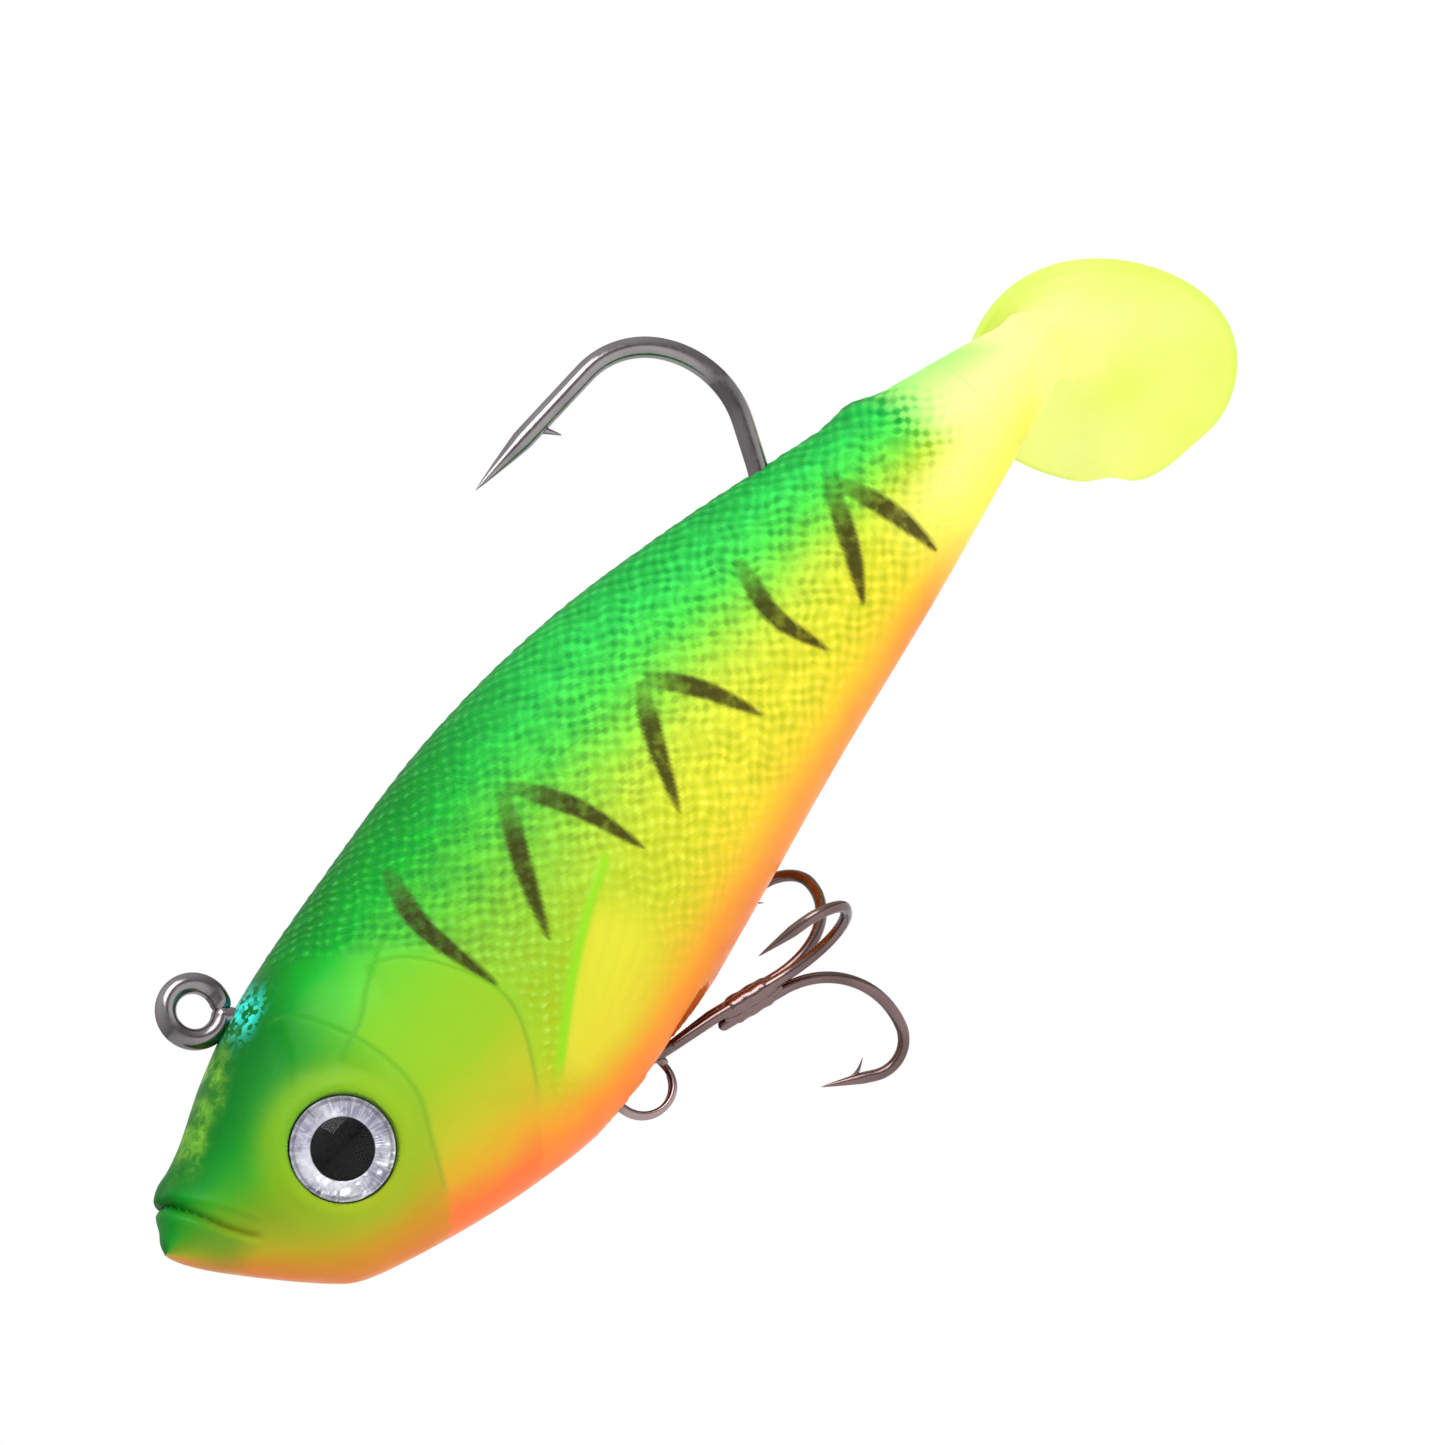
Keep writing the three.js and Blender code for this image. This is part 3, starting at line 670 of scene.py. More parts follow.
def paddle_skin():
    stem_end = WRIST[0] - 2.2
    stem = [section(x)[0] for x in np.arange(SKIN_SEAM, stem_end, 0.3)]
    keys = [section(stem_end)[0], stem_ring(-0.4, PADDLE_TURN * 0.35), stem_ring(1.2, PADDLE_TURN * 0.9)]
    keys.append(stem_ring(2.4, PADDLE_TURN, 1.1))
    front = [(0.1, 1.35), (0.3, 0.95), (0.55, 0.8), (0.8, 0.65), (0.95, 0.45), (1, 0)]
    back = [(0.95, -0.45), (0.8, -0.65), (0.5, -0.8), (0.25, -0.85), (0.02, -0.9)]
    keys += [paddle_ring(share, offset) for share, offset in front + back]
    rings = np.concatenate((stem, curve_through(keys, 9)))
    soften(rings, first=len(stem) + 8, last=len(stem) + 52, passes=90)
    made = loft("paddle_skin", rings)
    x, z = rings[..., 0], rings[..., 2]
    level = level_at(x, z)
    near_wrist = ease(WRIST[0] - 5, WRIST[0], x)
    level = np.clip(level, 0.4 * near_wrist, 1 - 0.35 * near_wrist)
    centre = turned(PADDLE_CENTRE, PADDLE_TURN)
    out = np.linalg.norm(rings - centre, axis=-1) / PADDLE_RADIUS
    core = hump(np.linalg.norm(rings - centre - (0, 0, -1.8), axis=-1), 4.6)
    past_stem = np.arange(len(rings)) - len(stem)
    on_paddle = np.broadcast_to(ease(26, 54, past_stem)[:, None], x.shape)
    set_masks(made, {"level": level, "out": out, "core": core, "disc": on_paddle})
    return made


# ---------- Hooks, rings and wires ----------


def upright(points):
    """Flat (x, z) points as points on the fish's centre plane."""
    return [(x, 0, z) for x, z in points]


def on_tie_ring(angle):
    """A point on the line-tie ring's centre line."""
    return TIE_CENTRE[0] + TIE_RADIUS * cos(angle), TIE_CENTRE[1] + TIE_RADIUS * sin(angle)


def hook_walk():
    """The jig hook's wire, from the line-tie ring to the point."""
    neck_drop = (TIE_CENTRE[1] - SHANK_Z) / -sin(NECK_HEADING)
    neck = neck_drop - TIE_RADIUS - NECK_CORNER * tan(-NECK_HEADING / 2)
    walk = Walk(*on_tie_ring(NECK_HEADING), NECK_HEADING).line(neck, 4).turn(NECK_CORNER, -NECK_HEADING)
    walk.line(SHANK_END_X - walk.points[-1][0], 20)
    walk.turn(HOOK_RISE["radius"], HOOK_RISE["angle"]).line(HOOK_RISE["length"], 6)
    for radius, angle in HOOK_BEND:
        walk.turn(radius, angle)
    return walk.line(POINT_LEG, 46)


def jig_hook():
    path = upright(hook_walk().points)
    last = len(path) - 1
    taper_points = 20

    def radius_at(i):
        return HOOK_WIRE * min(1, ((last - i) / taper_points) ** 0.85 + 0.02)

    shaft = wire("hook_shaft", path, radius_at, 24)
    angles = np.linspace(radians(-25), radians(309), 90)
    ring = wire("hook_ring", upright(on_tie_ring(angle) for angle in angles), lambda i: HOOK_WIRE, 24)
    root = np.array(path[-HOOK_BARB_STEPS])
    barb_path = curve_through([root, root + (0.45, 0, -0.5), root + (1.15, 0, -1.6)], 6)
    barb = wire("hook_barb", barb_path, lambda i: 0.55 * (1 - i / 13.5), 12, 0.8)
    return join("jig_hook_wire", [shaft, ring, barb])


def split_ring():
    steps_per_turn = 72
    last = 2 * steps_per_turn - 5
    path = []
    for i in range(last + 1):
        angle = 2 * pi * i / steps_per_turn
        crossed = ease(steps_per_turn - 12, steps_per_turn, i)
        offset = (SPLIT_RADIUS * cos(angle), SPLIT_PITCH * (crossed - 0.5), SPLIT_RADIUS * sin(angle))
        path.append(SPLIT_CENTRE + offset)
    return wire("split_ring_coil", path, lambda i: SPLIT_WIRE, 14, 1.05)


def eye_loop(radius, leg_offset, steps=48):
    """A wire eye as (along, across) points: in on one leg, round the loop and out again."""
    opening = asin(leg_offset / radius)
    angles = [opening + i / steps * 2 * (pi - opening) for i in range(steps + 1)]
    return [(radius * cos(angle), radius * sin(angle)) for angle in angles]


def belly_eyelet():
    leg_offset = EYELET_WIRE + 0.08
    loop_z = EYELET_BOTTOM + EYELET_RADIUS
    loop = [
        (EYELET_X, y, loop_z + (up * EYELET_STRETCH if up > 0 else up))
        for up, y in eye_loop(EYELET_RADIUS, leg_offset)
    ]
    top = -3
    path = [(EYELET_X, leg_offset, top), *loop, (EYELET_X, -leg_offset, top)]
    return wire("belly_eyelet_wire", path, lambda i: EYELET_WIRE, 16)


def treble_eye_centre():
    """Its near side hangs just inside the split ring's wire."""
    near_side = SPLIT_RADIUS - SPLIT_WIRE - TREBLE_WIRE - 0.1
    skew = TREBLE_RISE + TREBLE_DIP
    reach = TREBLE_EYE * cos(skew) + (near_side ** 2 - (TREBLE_EYE * sin(skew)) ** 2) ** 0.5
    return SPLIT_CENTRE + (reach * cos(TREBLE_RISE), 0, reach * sin(TREBLE_RISE))


TREBLE_EYE_CENTRE = treble_eye_centre()


def treble_place(points):
    """Points laid out from the treble's eye, with its shank along +x, as the lure's points."""
    turn = Matrix.Rotation(TREBLE_YAW, 3, "Z") @ Matrix.Rotation(TREBLE_DIP, 3, "Y")
    return np.asarray(points) @ np.array(turn).T + TREBLE_EYE_CENTRE


def treble_hook(start, azimuth):
    walk = Walk(start, TREBLE_NEST, 0).line(TREBLE_SHANK - start, 10)
    for radius, angle in TREBLE_BEND:
        walk.turn(radius, angle)
    walk.line(TREBLE_POINT, 20)
    return [(along, out * sin(azimuth), out * cos(azimuth)) for along, out in walk.points]


def treble_barb(hook):
    root = np.array(hook[-TREBLE_BARB_STEPS])
    shankward = unit(np.array((0, -root[1], -root[2])))
    middle_point = root + 0.35 * shankward + (0.8, 0, 0)
    tip = root + 0.95 * shankward + (1.5, 0, 0)
    path = curve_through([root, middle_point, tip], 5)
    return wire("barb", treble_place(path), lambda i: 0.22 * (1 - i / 11), 10, 0.8)


def tip_taper(last):
    """The radius along a treble wire that thins to a point at its last path point."""
    taper_points = 16
    return lambda i: TREBLE_WIRE * min(1, (max(last - i, 0) / taper_points) ** 0.85 + 0.03)


def treble_double():
    up, left = (treble_hook(4.5, azimuth) for azimuth in TREBLE_AZIMUTHS[:2])
    loop = [(along, y, 0) for along, y in eye_loop(TREBLE_EYE, TREBLE_NEST)]
    down_leg = curve_through([up[0], loop[0]], 6)[1:-1]
    up_leg = curve_through([loop[-1], left[0]], 6)[1:-1]
    path = [*up[::-1], *down_leg, *loop, *up_leg, *left]
    last = len(path) - 1
    taper = tip_taper(last)
    double = wire("double", treble_place(path), lambda i: min(taper(i), taper(last - i)), 16)
    return join("treble_double_hook", [double, treble_barb(up), treble_barb(left)])


def treble_single():
    hook = treble_hook(5, TREBLE_AZIMUTHS[2])
    single = wire("single", treble_place(hook), tip_taper(len(hook) - 1), 16)
    return join("treble_single_hook", [single, treble_barb(hook)])


def treble_braze():
    """Solder that fills the grooves between the three wires and thins out at both ends."""
    turns = full_turn(48)
    near_wire = np.cos(turns[:, None] - np.array(TREBLE_AZIMUTHS)).max(axis=1)
    rings = []
    for along in np.linspace(BRAZE_START, BRAZE_END, 28):
        starting = ease(BRAZE_START - 0.1, BRAZE_START + 1, along)
        ends = starting * ease(BRAZE_END + 0.1, BRAZE_END - 1.3, along)
        hug = TREBLE_NEST * near_wire + 0.34 + 0.13 * ends + 0.03 * np.sin(5 * along + 3 * turns)
        radius = np.maximum(hug, 0.55) * (0.72 + 0.28 * ends)
        across, up = radius * np.sin(turns), radius * np.cos(turns)
        ring = np.stack((np.full(len(turns), along), across, up), axis=1)
        rings.append(treble_place(ring))
    return loft("treble_solder", rings)


# ---------- Eyes ----------


def eye_foil(name, side):
    """A thin foil disc with a crinkled front."""
    centre, axis = eye_place(side)
    floor = -EYE_DEPTH + FOIL_GAP
    front = [(EYE_RADIUS * (1 - i / 40), floor + 0.22) for i in range(41)]
    profile = [(0, floor), (EYE_RADIUS, floor), (EYE_RADIUS + 0.02, floor + 0.11), *front]
    rings = np.array(lathe_rings(profile, centre, axis))
    turns = full_turn(EYE_SIDES)
    for i, (radius, height) in enumerate(profile):
        if height > floor + 0.2:
            crinkle = 0.035 * np.sin(17 * turns + 2.3 * radius) * np.sin(11 * turns - 3.1 * radius)
            rings[i] += np.outer(crinkle * ease(0.3, 2.2, radius) * ease(3.6, 3.2, radius), axis)
    made = loft(name, rings)
    radii, turns = np.meshgrid([radius for radius, _ in profile], turns, indexing="ij")
    set_masks(made, {"radius": radii, "turn": turns})
    return made


def eye_dome(name, side):
    centre, axis = eye_place(side)
    floor = -EYE_DEPTH + FOIL_GAP + 0.35
    crown, rim = 1.3, 0.3
    profile = [(0, floor), (EYE_RADIUS - 0.05, floor), (EYE_RADIUS, floor + 0.06)]
    for i in range(25):
        radius = EYE_RADIUS * cos(i / 24 * pi / 2)
        profile.append((radius, floor + rim + crown * (1 - (radius / EYE_RADIUS) ** 2)))
    return loft(name, lathe_rings(profile, centre, axis))


# ---------- Materials ----------


def srgb(*screen):
    """A colour given as 0-255 screen values, as the linear values that shaders use."""
    def linear(value):
        return value / 12.92 if value <= 0.04045 else ((value + 0.055) / 1.055) ** 2.4

    return (*(linear(value / 255) for value in screen), 1)


class Shading:
    """A node tree under construction: short calls that add nodes and return their outputs."""

    def __init__(self, owner):
        owner.use_nodes = True
        self.nodes = owner.node_tree.nodes
        self.links = owner.node_tree.links

    def put(self, socket, value):
        if isinstance(value, bpy.types.NodeSocket):
            self.links.new(value, socket)
        else:
            socket.default_value = value

    def fill(self, node, inputs):
        for key, value in inputs.items():
            self.put(node.inputs[key.replace("_", " ")], value)

    def node(self, kind, output=0, **inputs):
        made = self.nodes.new(kind)
        self.fill(made, inputs)
        return made.outputs[output]

    def mask(self, name):
        made = self.nodes.new("ShaderNodeAttribute")
        made.attribute_name = name
        return made.outputs["Fac"]

    def math(self, operation, *values):
        made = self.nodes.new("ShaderNodeMath")
        made.operation = operation
        for socket, value in zip(made.inputs, values):
            self.put(socket, value)
        return made.outputs[0]

    def times(self, first, second):
        return self.math("MULTIPLY", first, second)

    def between(self, value, low, high, out_low=0, out_high=1):
        made = self.nodes.new("ShaderNodeMapRange")
        made.interpolation_type = "SMOOTHSTEP"
        for socket, entry in zip(made.inputs, (value, low, high, out_low, out_high)):
            self.put(socket, entry)
        return made.outputs[0]

    def mix(self, factor, first, second):
        made = self.nodes.new("ShaderNodeMix")
        made.data_type = "RGBA"
        self.put(made.inputs["Factor"], factor)
        self.put(made.inputs[6], first)
        self.put(made.inputs[7], second)
        return made.outputs[2]

    def tint(self, colour, over, share, strength):
        """The colour with another one over it, as strongly as a share or a mask times strength."""
        if isinstance(share, str):
            share = self.mask(share)
        return self.mix(self.times(share, strength), colour, over)

    def ramp(self, factor, stops):
        """A colour ramp. Its stops are rising positions with 0-255 screen colours."""
        made = self.nodes.new("ShaderNodeValToRGB")
        self.put(made.inputs["Fac"], factor)
        elements = made.color_ramp.elements
        while len(elements) < len(stops):
            elements.new(0.5)
        for element, (position, colour) in zip(elements, stops):
            element.position = position
            element.color = srgb(*colour)
        return made.outputs[0]

    def noise(self, scale, detail, vector=None):
        vector = vector or self.node("ShaderNodeTexCoord", "Object")
        return self.node("ShaderNodeTexNoise", "Fac", Scale=scale, Detail=detail, Vector=vector)

    def cells(self, scale, output="Color"):
        vector = self.node("ShaderNodeTexCoord", "Object")
        return self.node("ShaderNodeTexVoronoi", output, Scale=scale, Vector=vector)

    def bump(self, height, strength, distance):
        return self.node("ShaderNodeBump", Height=height, Strength=strength, Distance=distance)

    def soft(self, value, spread, noise):
        """The value with a little noise added, as much above it as below."""
        return self.math("MULTIPLY_ADD", self.math("SUBTRACT", noise, 0.5), spread, value)


class Finish(Shading):
    """A material under construction."""

    def __init__(self, name):
        self.material = bpy.data.materials.new(name)
        super().__init__(self.material)
        self.surface = self.nodes["Principled BSDF"]

    def set(self, **inputs):
        self.fill(self.surface, inputs)

    def mix_surface(self, factor, other):
        """Blends the surface with another shader: all of the other one where factor is 1."""
        shader = self.node("ShaderNodeMixShader")
        for socket, value in zip(shader.node.inputs, (factor, self.surface.outputs[0], other)):
            self.put(socket, value)
        self.put(self.nodes["Material Output"].inputs["Surface"], shader)


# Where one sprayed paint turns into the next along the fish, in its millimetres.
FRONT_FROM = (12, 19.5)
REAR_FROM = (28, 50)
GREEN_ENDS = (75, 80.5)
BELLY_PALES = (68, 77)
TAIL_FROM = (76.5, SKIN_SEAM - 0.3)

# Sprayed colours up the side, from the belly at 0 to the back at 1, at four places along it.
HEAD_PAINT = [
    (0, (214, 120, 44)), (0.08, (206, 146, 36)), (0.16, (184, 166, 32)), (0.26, (158, 168, 34)),
    (0.38, (132, 158, 28)), (0.5, (102, 158, 28)), (0.62, (64, 158, 34)), (0.74, (18, 142, 32)),
    (0.86, (2, 118, 28)), (1, (2, 96, 30)),
]
FRONT_PAINT = [
    (0, (250, 116, 60)), (0.07, (248, 144, 50)), (0.16, (208, 186, 38)), (0.26, (168, 202, 38)),
    (0.38, (148, 198, 40)), (0.5, (146, 204, 52)), (0.62, (130, 202, 46)), (0.74, (92, 202, 48)),
    (0.86, (10, 176, 36)), (1, (0, 106, 10)),
]
REAR_PAINT = [
    (0, (250, 140, 66)), (0.07, (250, 168, 56)), (0.16, (244, 208, 44)), (0.26, (234, 222, 48)),
    (0.38, (226, 224, 54)), (0.5, (208, 232, 64)), (0.62, (146, 232, 66)), (0.74, (84, 228, 74)),
    (0.86, (48, 214, 82)), (1, (0, 156, 54)),
]
TAIL_PAINT = [
    (0, (242, 222, 96)), (0.08, (240, 242, 96)), (0.26, (244, 250, 124)), (0.45, (242, 250, 140)),
    (0.62, (234, 249, 150)), (0.76, (216, 247, 140)), (0.88, (190, 244, 124)), (1, (160, 236, 116)),
]
# The gill plate's own paint, over the others.
PLATE_PAINT = [
    (0.05, (244, 116, 56)), (0.13, (226, 168, 44)), (0.22, (200, 188, 40)), (0.4, (154, 192, 36)),
    (0.6, (134, 196, 40)), (0.76, (98, 200, 48)), (0.9, (40, 176, 44)),
]


def soft_plastic(finish, colour, roughness, glow):
    finish.set(
        Base_Color=colour, Roughness=roughness, IOR=1.45, Subsurface_Weight=glow,
        Subsurface_Radius=(0.9, 1, 0.45), Subsurface_Scale=0.5 * MM, Specular_IOR_Level=0.12,
    )


def sprayed_paint(f, along, level):
    """The paint up the side, from the head's over the front's to the rear's, and the tail's."""
    paint_level = f.soft(f.soft(level, 0.05, f.noise(420, 3)), 0.06, f.noise(130, 1))
    paints = (HEAD_PAINT, FRONT_PAINT, REAR_PAINT, TAIL_PAINT, PLATE_PAINT)
    head, front, rear, tail, plate = (f.ramp(paint_level, colours) for colours in paints)
    colour = f.mix(f.between(along, *FRONT_FROM), head, front)
    colour = f.mix(f.between(along, *REAR_FROM), colour, rear)
    return f.tint(colour, plate, "gill_plate", 0.9), tail


def scale_paint(f, colour, level):
    """Pits between the scales are a darker green, and the scales' middles get a painted highlight.
    Gives the colour and how much pit there is."""
    pits = f.mask("pits")
    scaly = f.mask("scaly")
    uneven = f.between(f.noise(620, 3), 0.36, 0.6, 0.3, 1)
    pit_share = f.times(f.between(pits, -0.4, 0.7), f.times(scaly, uneven))
    crown_highlight_share = f.times(f.between(pits, -0.1, -0.9), scaly)
    green_share = f.between(level, 0.3, 0.75)
    pit_colour = f.mix(green_share, srgb(174, 186, 22), srgb(0, 132, 46))
    colour = f.tint(colour, pit_colour, pit_share, 0.7)
    # Painted highlight: a lighter colour over the scales' crowns.
    crown_highlight = f.mix(green_share, srgb(250, 244, 120), srgb(90, 236, 104))
    colour = f.tint(colour, crown_highlight, crown_highlight_share, 0.33)
    patchy = f.between(f.noise(900, 4), 0.36, 0.62, 0.32, 0)
    colour = f.tint(colour, pit_colour, patchy, scaly)

    # Painted shade: the green darkens where the surface turns away from the view, along the back's edge.
    facing = f.node("ShaderNodeLayerWeight", "Facing", Blend=0.5)
    edge_shade = f.between(facing, 0.55, 1, 0, 0.7)
    return f.tint(colour, srgb(0, 96, 30), edge_shade, green_share), pit_share


def tail_fade(f, colour, tail, along, level, pit_share):
    """The green fades out towards the tail, last in the pits, and the belly's paint sooner."""
    edge = f.math("MULTIPLY_ADD", pit_share, 3, f.times(along, -1))
    clear = f.math("SUBTRACT", 1, f.between(edge, -GREEN_ENDS[1], -GREEN_ENDS[0]))
    colour = f.tint(colour, tail, clear, f.between(level, 0.25, 0.6))
    colour = f.tint(colour, tail, f.between(along, *BELLY_PALES), f.between(level, 0.55, 0.3))
    return f.mix(f.between(along, *TAIL_FROM), colour, tail)


def painted_marks(f, colour):
    """The fin, the head's shades and its painted shade in creases, hollows and under the lip, the
    stripes, and the flakes and glint of the film in the head.
    """
    colour = f.tint(colour, srgb(230, 216, 56), "fin_field", 0.7)
    colour = f.tint(colour, srgb(136, 214, 26), "fin_ridge", 0.85)
    colour = f.tint(colour, srgb(152, 190, 30), "halo", 0.55)
    # Painted shadow on the lower lip, just below the mouth's slit.
    colour = f.tint(colour, srgb(28, 140, 36), "lip_shadow", 0.55)
    # Painted shade along the grooves at the cheek's and the gill plate's edges.
    colour = f.tint(colour, srgb(56, 136, 30), "crease_shade", 0.4)
    worn = f.between(f.noise(1100, 3), 0.3, 0.55, 0.8, 1)
    colour = f.tint(colour, srgb(56, 48, 10), f.times(f.mask("stripe"), worn), 0.94)
    flake_light = f.node("ShaderNodeSeparateColor", Color=f.cells(2600))
    clear = f.between(f.noise(520, 3), 0.35, 0.62, 0.1, 0.8)
    colour = f.tint(colour, f.mix(flake_light, srgb(92, 170, 30), srgb(168, 224, 70)), "forehead", clear)
    colour = f.tint(colour, srgb(60, 236, 226), "glint", f.between(flake_light, 0.3, 0.7))
    # Painted shade in the mouth's slit, the belly's slot and the eye sockets.
    dark = f.math("MAXIMUM", f.mask("slit"), f.mask("socket"))
    return f.tint(colour, srgb(24, 84, 16), dark, 0.5)


def skin_finish():
    """Airbrushed soft plastic: green back, yellow flank, orange belly, dark stripes and scales."""
    f = Finish("airbrushed_soft_plastic")
    along, level = f.mask("along"), f.mask("level")
    colour, tail = sprayed_paint(f, along, level)
    colour, pit_share = scale_paint(f, colour, level)
    colour = tail_fade(f, colour, tail, along, level, pit_share)
    roughness = f.between(f.noise(600, 3), 0.3, 0.7, 0.3, 0.46)
    soft_plastic(f, painted_marks(f, colour), roughness, 0.35)
    relief = f.times(f.times(f.mask("pits"), -1), f.mask("scaly"))
    fine = f.math("MULTIPLY_ADD", f.noise(1600, 3), 0.35, relief)
    f.set(Normal=f.bump(fine, 0.55, 0.12 * MM))
    return f.material


def paddle_finish():
    """Clear yellow soft plastic that glows where light comes through it."""
    f = Finish("clear_yellow_soft_plastic")
    level, out, disc = f.mask("level"), f.mask("out"), f.mask("disc")
    stem = f.ramp(level, TAIL_PAINT)
    cloud = f.noise(110, 2)
    face = f.ramp(f.soft(out, 1.1, cloud), [
        (0.1, (250, 253, 208)), (0.4, (249, 253, 188)), (0.7, (246, 252, 160)), (1, (240, 250, 136)),
    ])
    face = f.tint(face, srgb(236, 248, 70), "core", 0.8)
    face = f.mix(f.between(out, 0.92, 1, 0, 0.5), face, srgb(204, 236, 96))
    colour = f.mix(disc, stem, face)
    soft_plastic(f, colour, f.between(f.noise(500, 2), 0.3, 0.7, 0.22, 0.34), 0.4)
    f.set(Normal=f.bump(f.noise(220, 3), 0.25, 0.35 * MM))
    through = f.node("ShaderNodeBsdfTranslucent", Color=f.mix(0.35, colour, srgb(255, 255, 200)))
    f.mix_surface(f.times(disc, 0.45), through)
    return f.material


def steel_finish(name, colour, dark, roughness):
    """Plated wire: drawn along its length, a little uneven, with painted shade where it turns away."""
    f = Finish(name)
    streaks = f.noise(2600, 4)
    cloud = f.noise(200, 2)
    facing = f.node("ShaderNodeLayerWeight", "Facing", Blend=0.4)
    tint = f.mix(f.between(cloud, 0.35, 0.75, 0, 0.45), colour, dark)
    # Painted shade: darker where the wire turns away from the view.
    tint = f.tint(tint, dark, f.between(facing, 0.3, 0.95), 0.75)
    uneven = f.between(streaks, 0.3, 0.7, roughness * 0.7, roughness * 1.5)
    f.set(Base_Color=tint, Metallic=1, Roughness=uneven, Normal=f.bump(streaks, 0.12, 0.03 * MM))
    return f.material


def lead_finish():
    f = Finish("cast_lead")
    grain = f.noise(900, 4)
    f.set(Base_Color=f.mix(grain, srgb(84, 88, 94), srgb(132, 136, 140)), Metallic=0.85)
    f.set(Roughness=f.between(grain, 0.3, 0.7, 0.45, 0.7), Normal=f.bump(grain, 0.4, 0.1 * MM))
    return f.material


def flash_finish():
    """Shattered-glass foil that shifts between cyan and green."""
    f = Finish("flash_foil")
    tone = f.node("ShaderNodeSeparateColor", Color=f.cells(900))
    colours = [(0, (40, 210, 230)), (0.5, (110, 240, 190)), (1, (190, 240, 90))]
    f.set(Base_Color=f.ramp(tone, colours))
    f.set(Metallic=0.9, Roughness=0.18, Normal=f.bump(tone, 0.6, 0.08 * MM))
    return f.material


def eye_foil_finish():
    """Printed eye: a black pupil on crinkled silver foil."""
    f = Finish("printed_eye_foil")
    radius, turn = f.mask("radius"), f.mask("turn")
    crinkle = f.cells(1500, "Distance")
    cloud = f.noise(700, 3)
    spokes = f.noise(26, 3, f.node("ShaderNodeCombineXYZ", X=f.times(radius, 0.02), Y=turn))
    silver = f.mix(f.between(f.noise(420, 3), 0.36, 0.62), srgb(250, 251, 255), srgb(172, 168, 190))
    silver = f.mix(f.between(spokes, 0.42, 0.66, 0, 0.5), silver, srgb(250, 250, 252))
    ring = f.between(f.math("ABSOLUTE", f.math("SUBTRACT", radius, 3.3)), 0.06, 0.16, 0.5, 0)
    silver = f.mix(ring, silver, srgb(110, 112, 118))
    pupil = f.between(radius, 2.08, 2.16, 1, 0)
    foil = f.math("SUBTRACT", 1, pupil)
    f.set(Base_Color=f.mix(pupil, silver, srgb(4, 3, 6)), Specular_IOR_Level=0.1)
    f.set(Metallic=f.times(foil, 0.75), Roughness=f.between(cloud, 0.3, 0.7, 0.22, 0.42))
    height = f.times(f.math("MULTIPLY_ADD", spokes, 0.4, crinkle), foil)
    f.set(Normal=f.bump(height, 0.7, 0.12 * MM))
    return f.material


def resin_finish():
    f = Finish("clear_resin")
    ripple = f.noise(250, 1)
    f.set(
        Base_Color=srgb(252, 253, 254), Roughness=f.between(ripple, 0.3, 0.7, 0.01, 0.03), IOR=1.2,
        Transmission_Weight=1, Normal=f.bump(ripple, 0.04, 0.1 * MM),
    )
    return f.material


def paint(piece, finish):
    piece.data.materials.clear()
    piece.data.materials.append(finish)


# ---------- Putting the lure together ----------


def add(piece, finish, body, slot, *nodes):
    """Finishes a piece, hangs it on its body if it has one, and hides the CAD nodes that it stands for."""
    paint(piece, finish)
    if body:
        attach(piece, body)
    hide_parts(*nodes)
    return piece


def build_soft_parts():
    skin = add(fish_skin(), skin_finish(), None, "soft_body", "soft_body", "tail_stem")
    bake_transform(skin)
    paddle = add(paddle_skin(), paddle_finish(), None, "soft_paddle", "tail_paddle")
    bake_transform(paddle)


def build_metal_parts():
    nickel = steel_finish("black_nickel", srgb(142, 136, 138), srgb(30, 25, 29), 0.16)
    bronze = steel_finish("bronzed_steel", srgb(122, 102, 100), srgb(34, 20, 20), 0.18)
    bright = steel_finish("split_ring_steel", srgb(158, 138, 136), srgb(62, 44, 44), 0.2)
    add(jig_hook(), nickel, "fish", "hook_steel", "jig_hook")
    add(belly_eyelet(), bright, "fish", "hook_steel", "belly_eyelet")
    add(split_ring(), bright, "ring", "ring_steel", "split_ring")
    add(treble_double(), bronze, "treble", "treble_steel", "treble_double_wire")
    add(treble_single(), bronze, "treble", "treble_steel", "treble_single_wire")
    add(treble_braze(), bronze, "treble", "treble_steel", "treble_braze")


def build_eyes():
    printed = eye_foil_finish()
    resin = resin_finish()
    for name, side in (("left", -1), ("right", 1)):
        add(eye_foil(f"{name}_eye_print", side), printed, "fish", "eye_foil", f"{name}_eye_foil")
        add(eye_dome(f"{name}_eye_resin", side), resin, "fish", "eye_resin", f"{name}_eye_dome")


def finish_hidden_nodes():
    paint(frame["nodes"]["lead_weight"], lead_finish())
    paint(frame["nodes"]["flash_foil"], flash_finish())


# ---------- The studio ----------

VIEW_YAW = radians(18)  # the camera stands this far round towards the head
VIEW_ROLL = radians(44)  # the tail rises to the upper right
VIEW_WIDTH = 98.3  # millimetres across the picture
VIEW_MIDDLE = (53.1, 0, -2.2)
LENS = 1200  # long, so that the view is nearly flat
SENSOR = 36


def view_axes():
    """The picture's right, its up and the way to the camera, in the row frame."""
    toward = Vector((-sin(VIEW_YAW), -cos(VIEW_YAW), 0))
    level_right = Vector((cos(VIEW_YAW), -sin(VIEW_YAW), 0))
    up = Vector((0, 0, 1))
    right = level_right * cos(VIEW_ROLL) - up * sin(VIEW_ROLL)
    return right, level_right * sin(VIEW_ROLL) + up * cos(VIEW_ROLL), toward


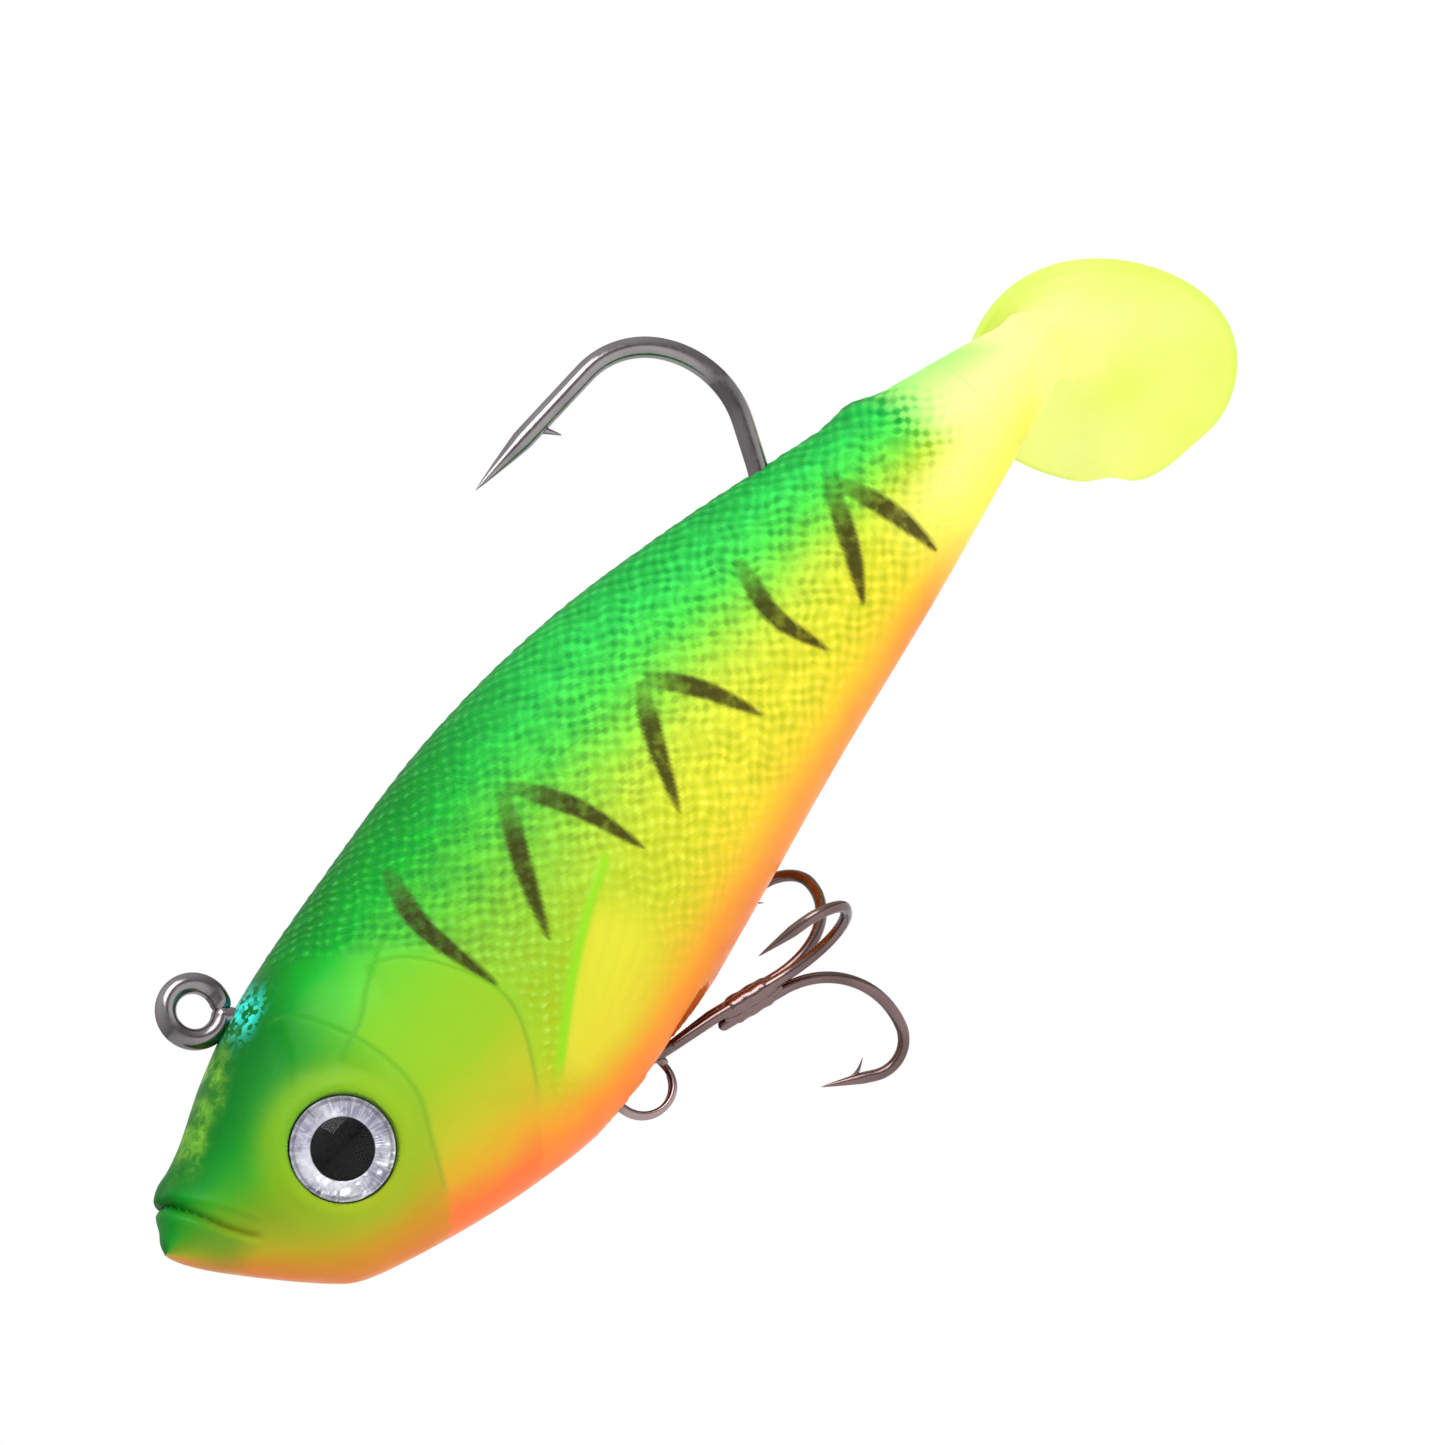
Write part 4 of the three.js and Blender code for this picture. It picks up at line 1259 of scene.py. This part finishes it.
def build_camera():
    data = bpy.data.cameras.new("camera")
    data.lens = LENS
    data.sensor_width = SENSOR
    data.clip_start = 0.01
    camera = linked("camera", data)
    right, up, toward = view_axes()
    place = Vector(metres(VIEW_MIDDLE)) + toward * (VIEW_WIDTH * MM * LENS / SENSOR)
    camera.matrix_world = Matrix.Translation(place) @ Matrix((right, up, toward)).transposed().to_4x4()
    bpy.context.scene.camera = camera


def soft_box(name, direction, distance, size, energy):
    """A square area light that faces the lure's middle."""
    data = bpy.data.lights.new(name, "AREA")
    data.shape = "SQUARE"
    data.size = size
    data.energy = energy
    light = linked(name, data)
    direction = direction.normalized()
    light.location = Vector(metres(VIEW_MIDDLE)) + direction * distance
    light.rotation_euler = direction.to_track_quat("Z", "Y").to_euler()
    return light


def build_lights():
    right, up, toward = view_axes()
    soft_box("key", toward * 0.8 + up * 0.9 - right * 0.3, 0.5, 0.3, 1.5)
    soft_box("fill", toward * 0.9 - up * 0.5 + right * 0.5, 0.6, 0.4, 0.7)
    back = soft_box("back", -toward * 0.9 + up * 0.6, 0.5, 0.4, 1)
    back.visible_glossy = False  # it lights the clear tail, without a bright line round the back


def build_world():
    """White to the camera, and a soft grey-to-white sky to everything else."""
    world = bpy.data.worlds.new("studio")
    bpy.context.scene.world = world
    tree = Shading(world)
    upward = tree.node("ShaderNodeSeparateXYZ", "Z", Vector=tree.node("ShaderNodeTexCoord", "Generated"))
    height = tree.node("ShaderNodeMapRange", Value=upward, From_Min=-1)
    sky = tree.node("ShaderNodeValToRGB", Fac=height)
    below, above = sky.node.color_ramp.elements
    below.color = (0.05, 0.05, 0.05, 1)
    above.color = (1.1, 1.1, 1.12, 1)
    sky.node.color_ramp.elements.new(0.5).color = (0.3, 0.3, 0.31, 1)
    seen = tree.node("ShaderNodeLightPath", "Is Camera Ray")
    tree.put(tree.nodes["Background"].inputs["Color"], tree.mix(seen, sky, (1, 1, 1, 1)))


def build_floor():
    """A wide white floor below the lure."""
    below = cad_bounds[0].z - 0.03
    half = 3
    mesh = bpy.data.meshes.new("floor")
    corners = [(-half, -half, below), (half, -half, below), (half, half, below), (-half, half, below)]
    mesh.from_pydata(corners, [], [(0, 1, 2, 3)])
    floor = linked("floor", mesh)
    f = Finish("white_floor")
    grain = f.noise(40, 2)
    f.set(Base_Color=f.mix(grain, srgb(246, 246, 246), srgb(252, 252, 252)), Roughness=0.6)
    f.mix_surface(f.node("ShaderNodeLightPath", "Is Camera Ray"), f.node("ShaderNodeEmission"))
    paint(floor, f.material)


build_soft_parts()
build_metal_parts()
build_eyes()
finish_hidden_nodes()
build_camera()
build_lights()
build_world()
build_floor()
bpy.context.scene.view_settings.view_transform = "Standard"
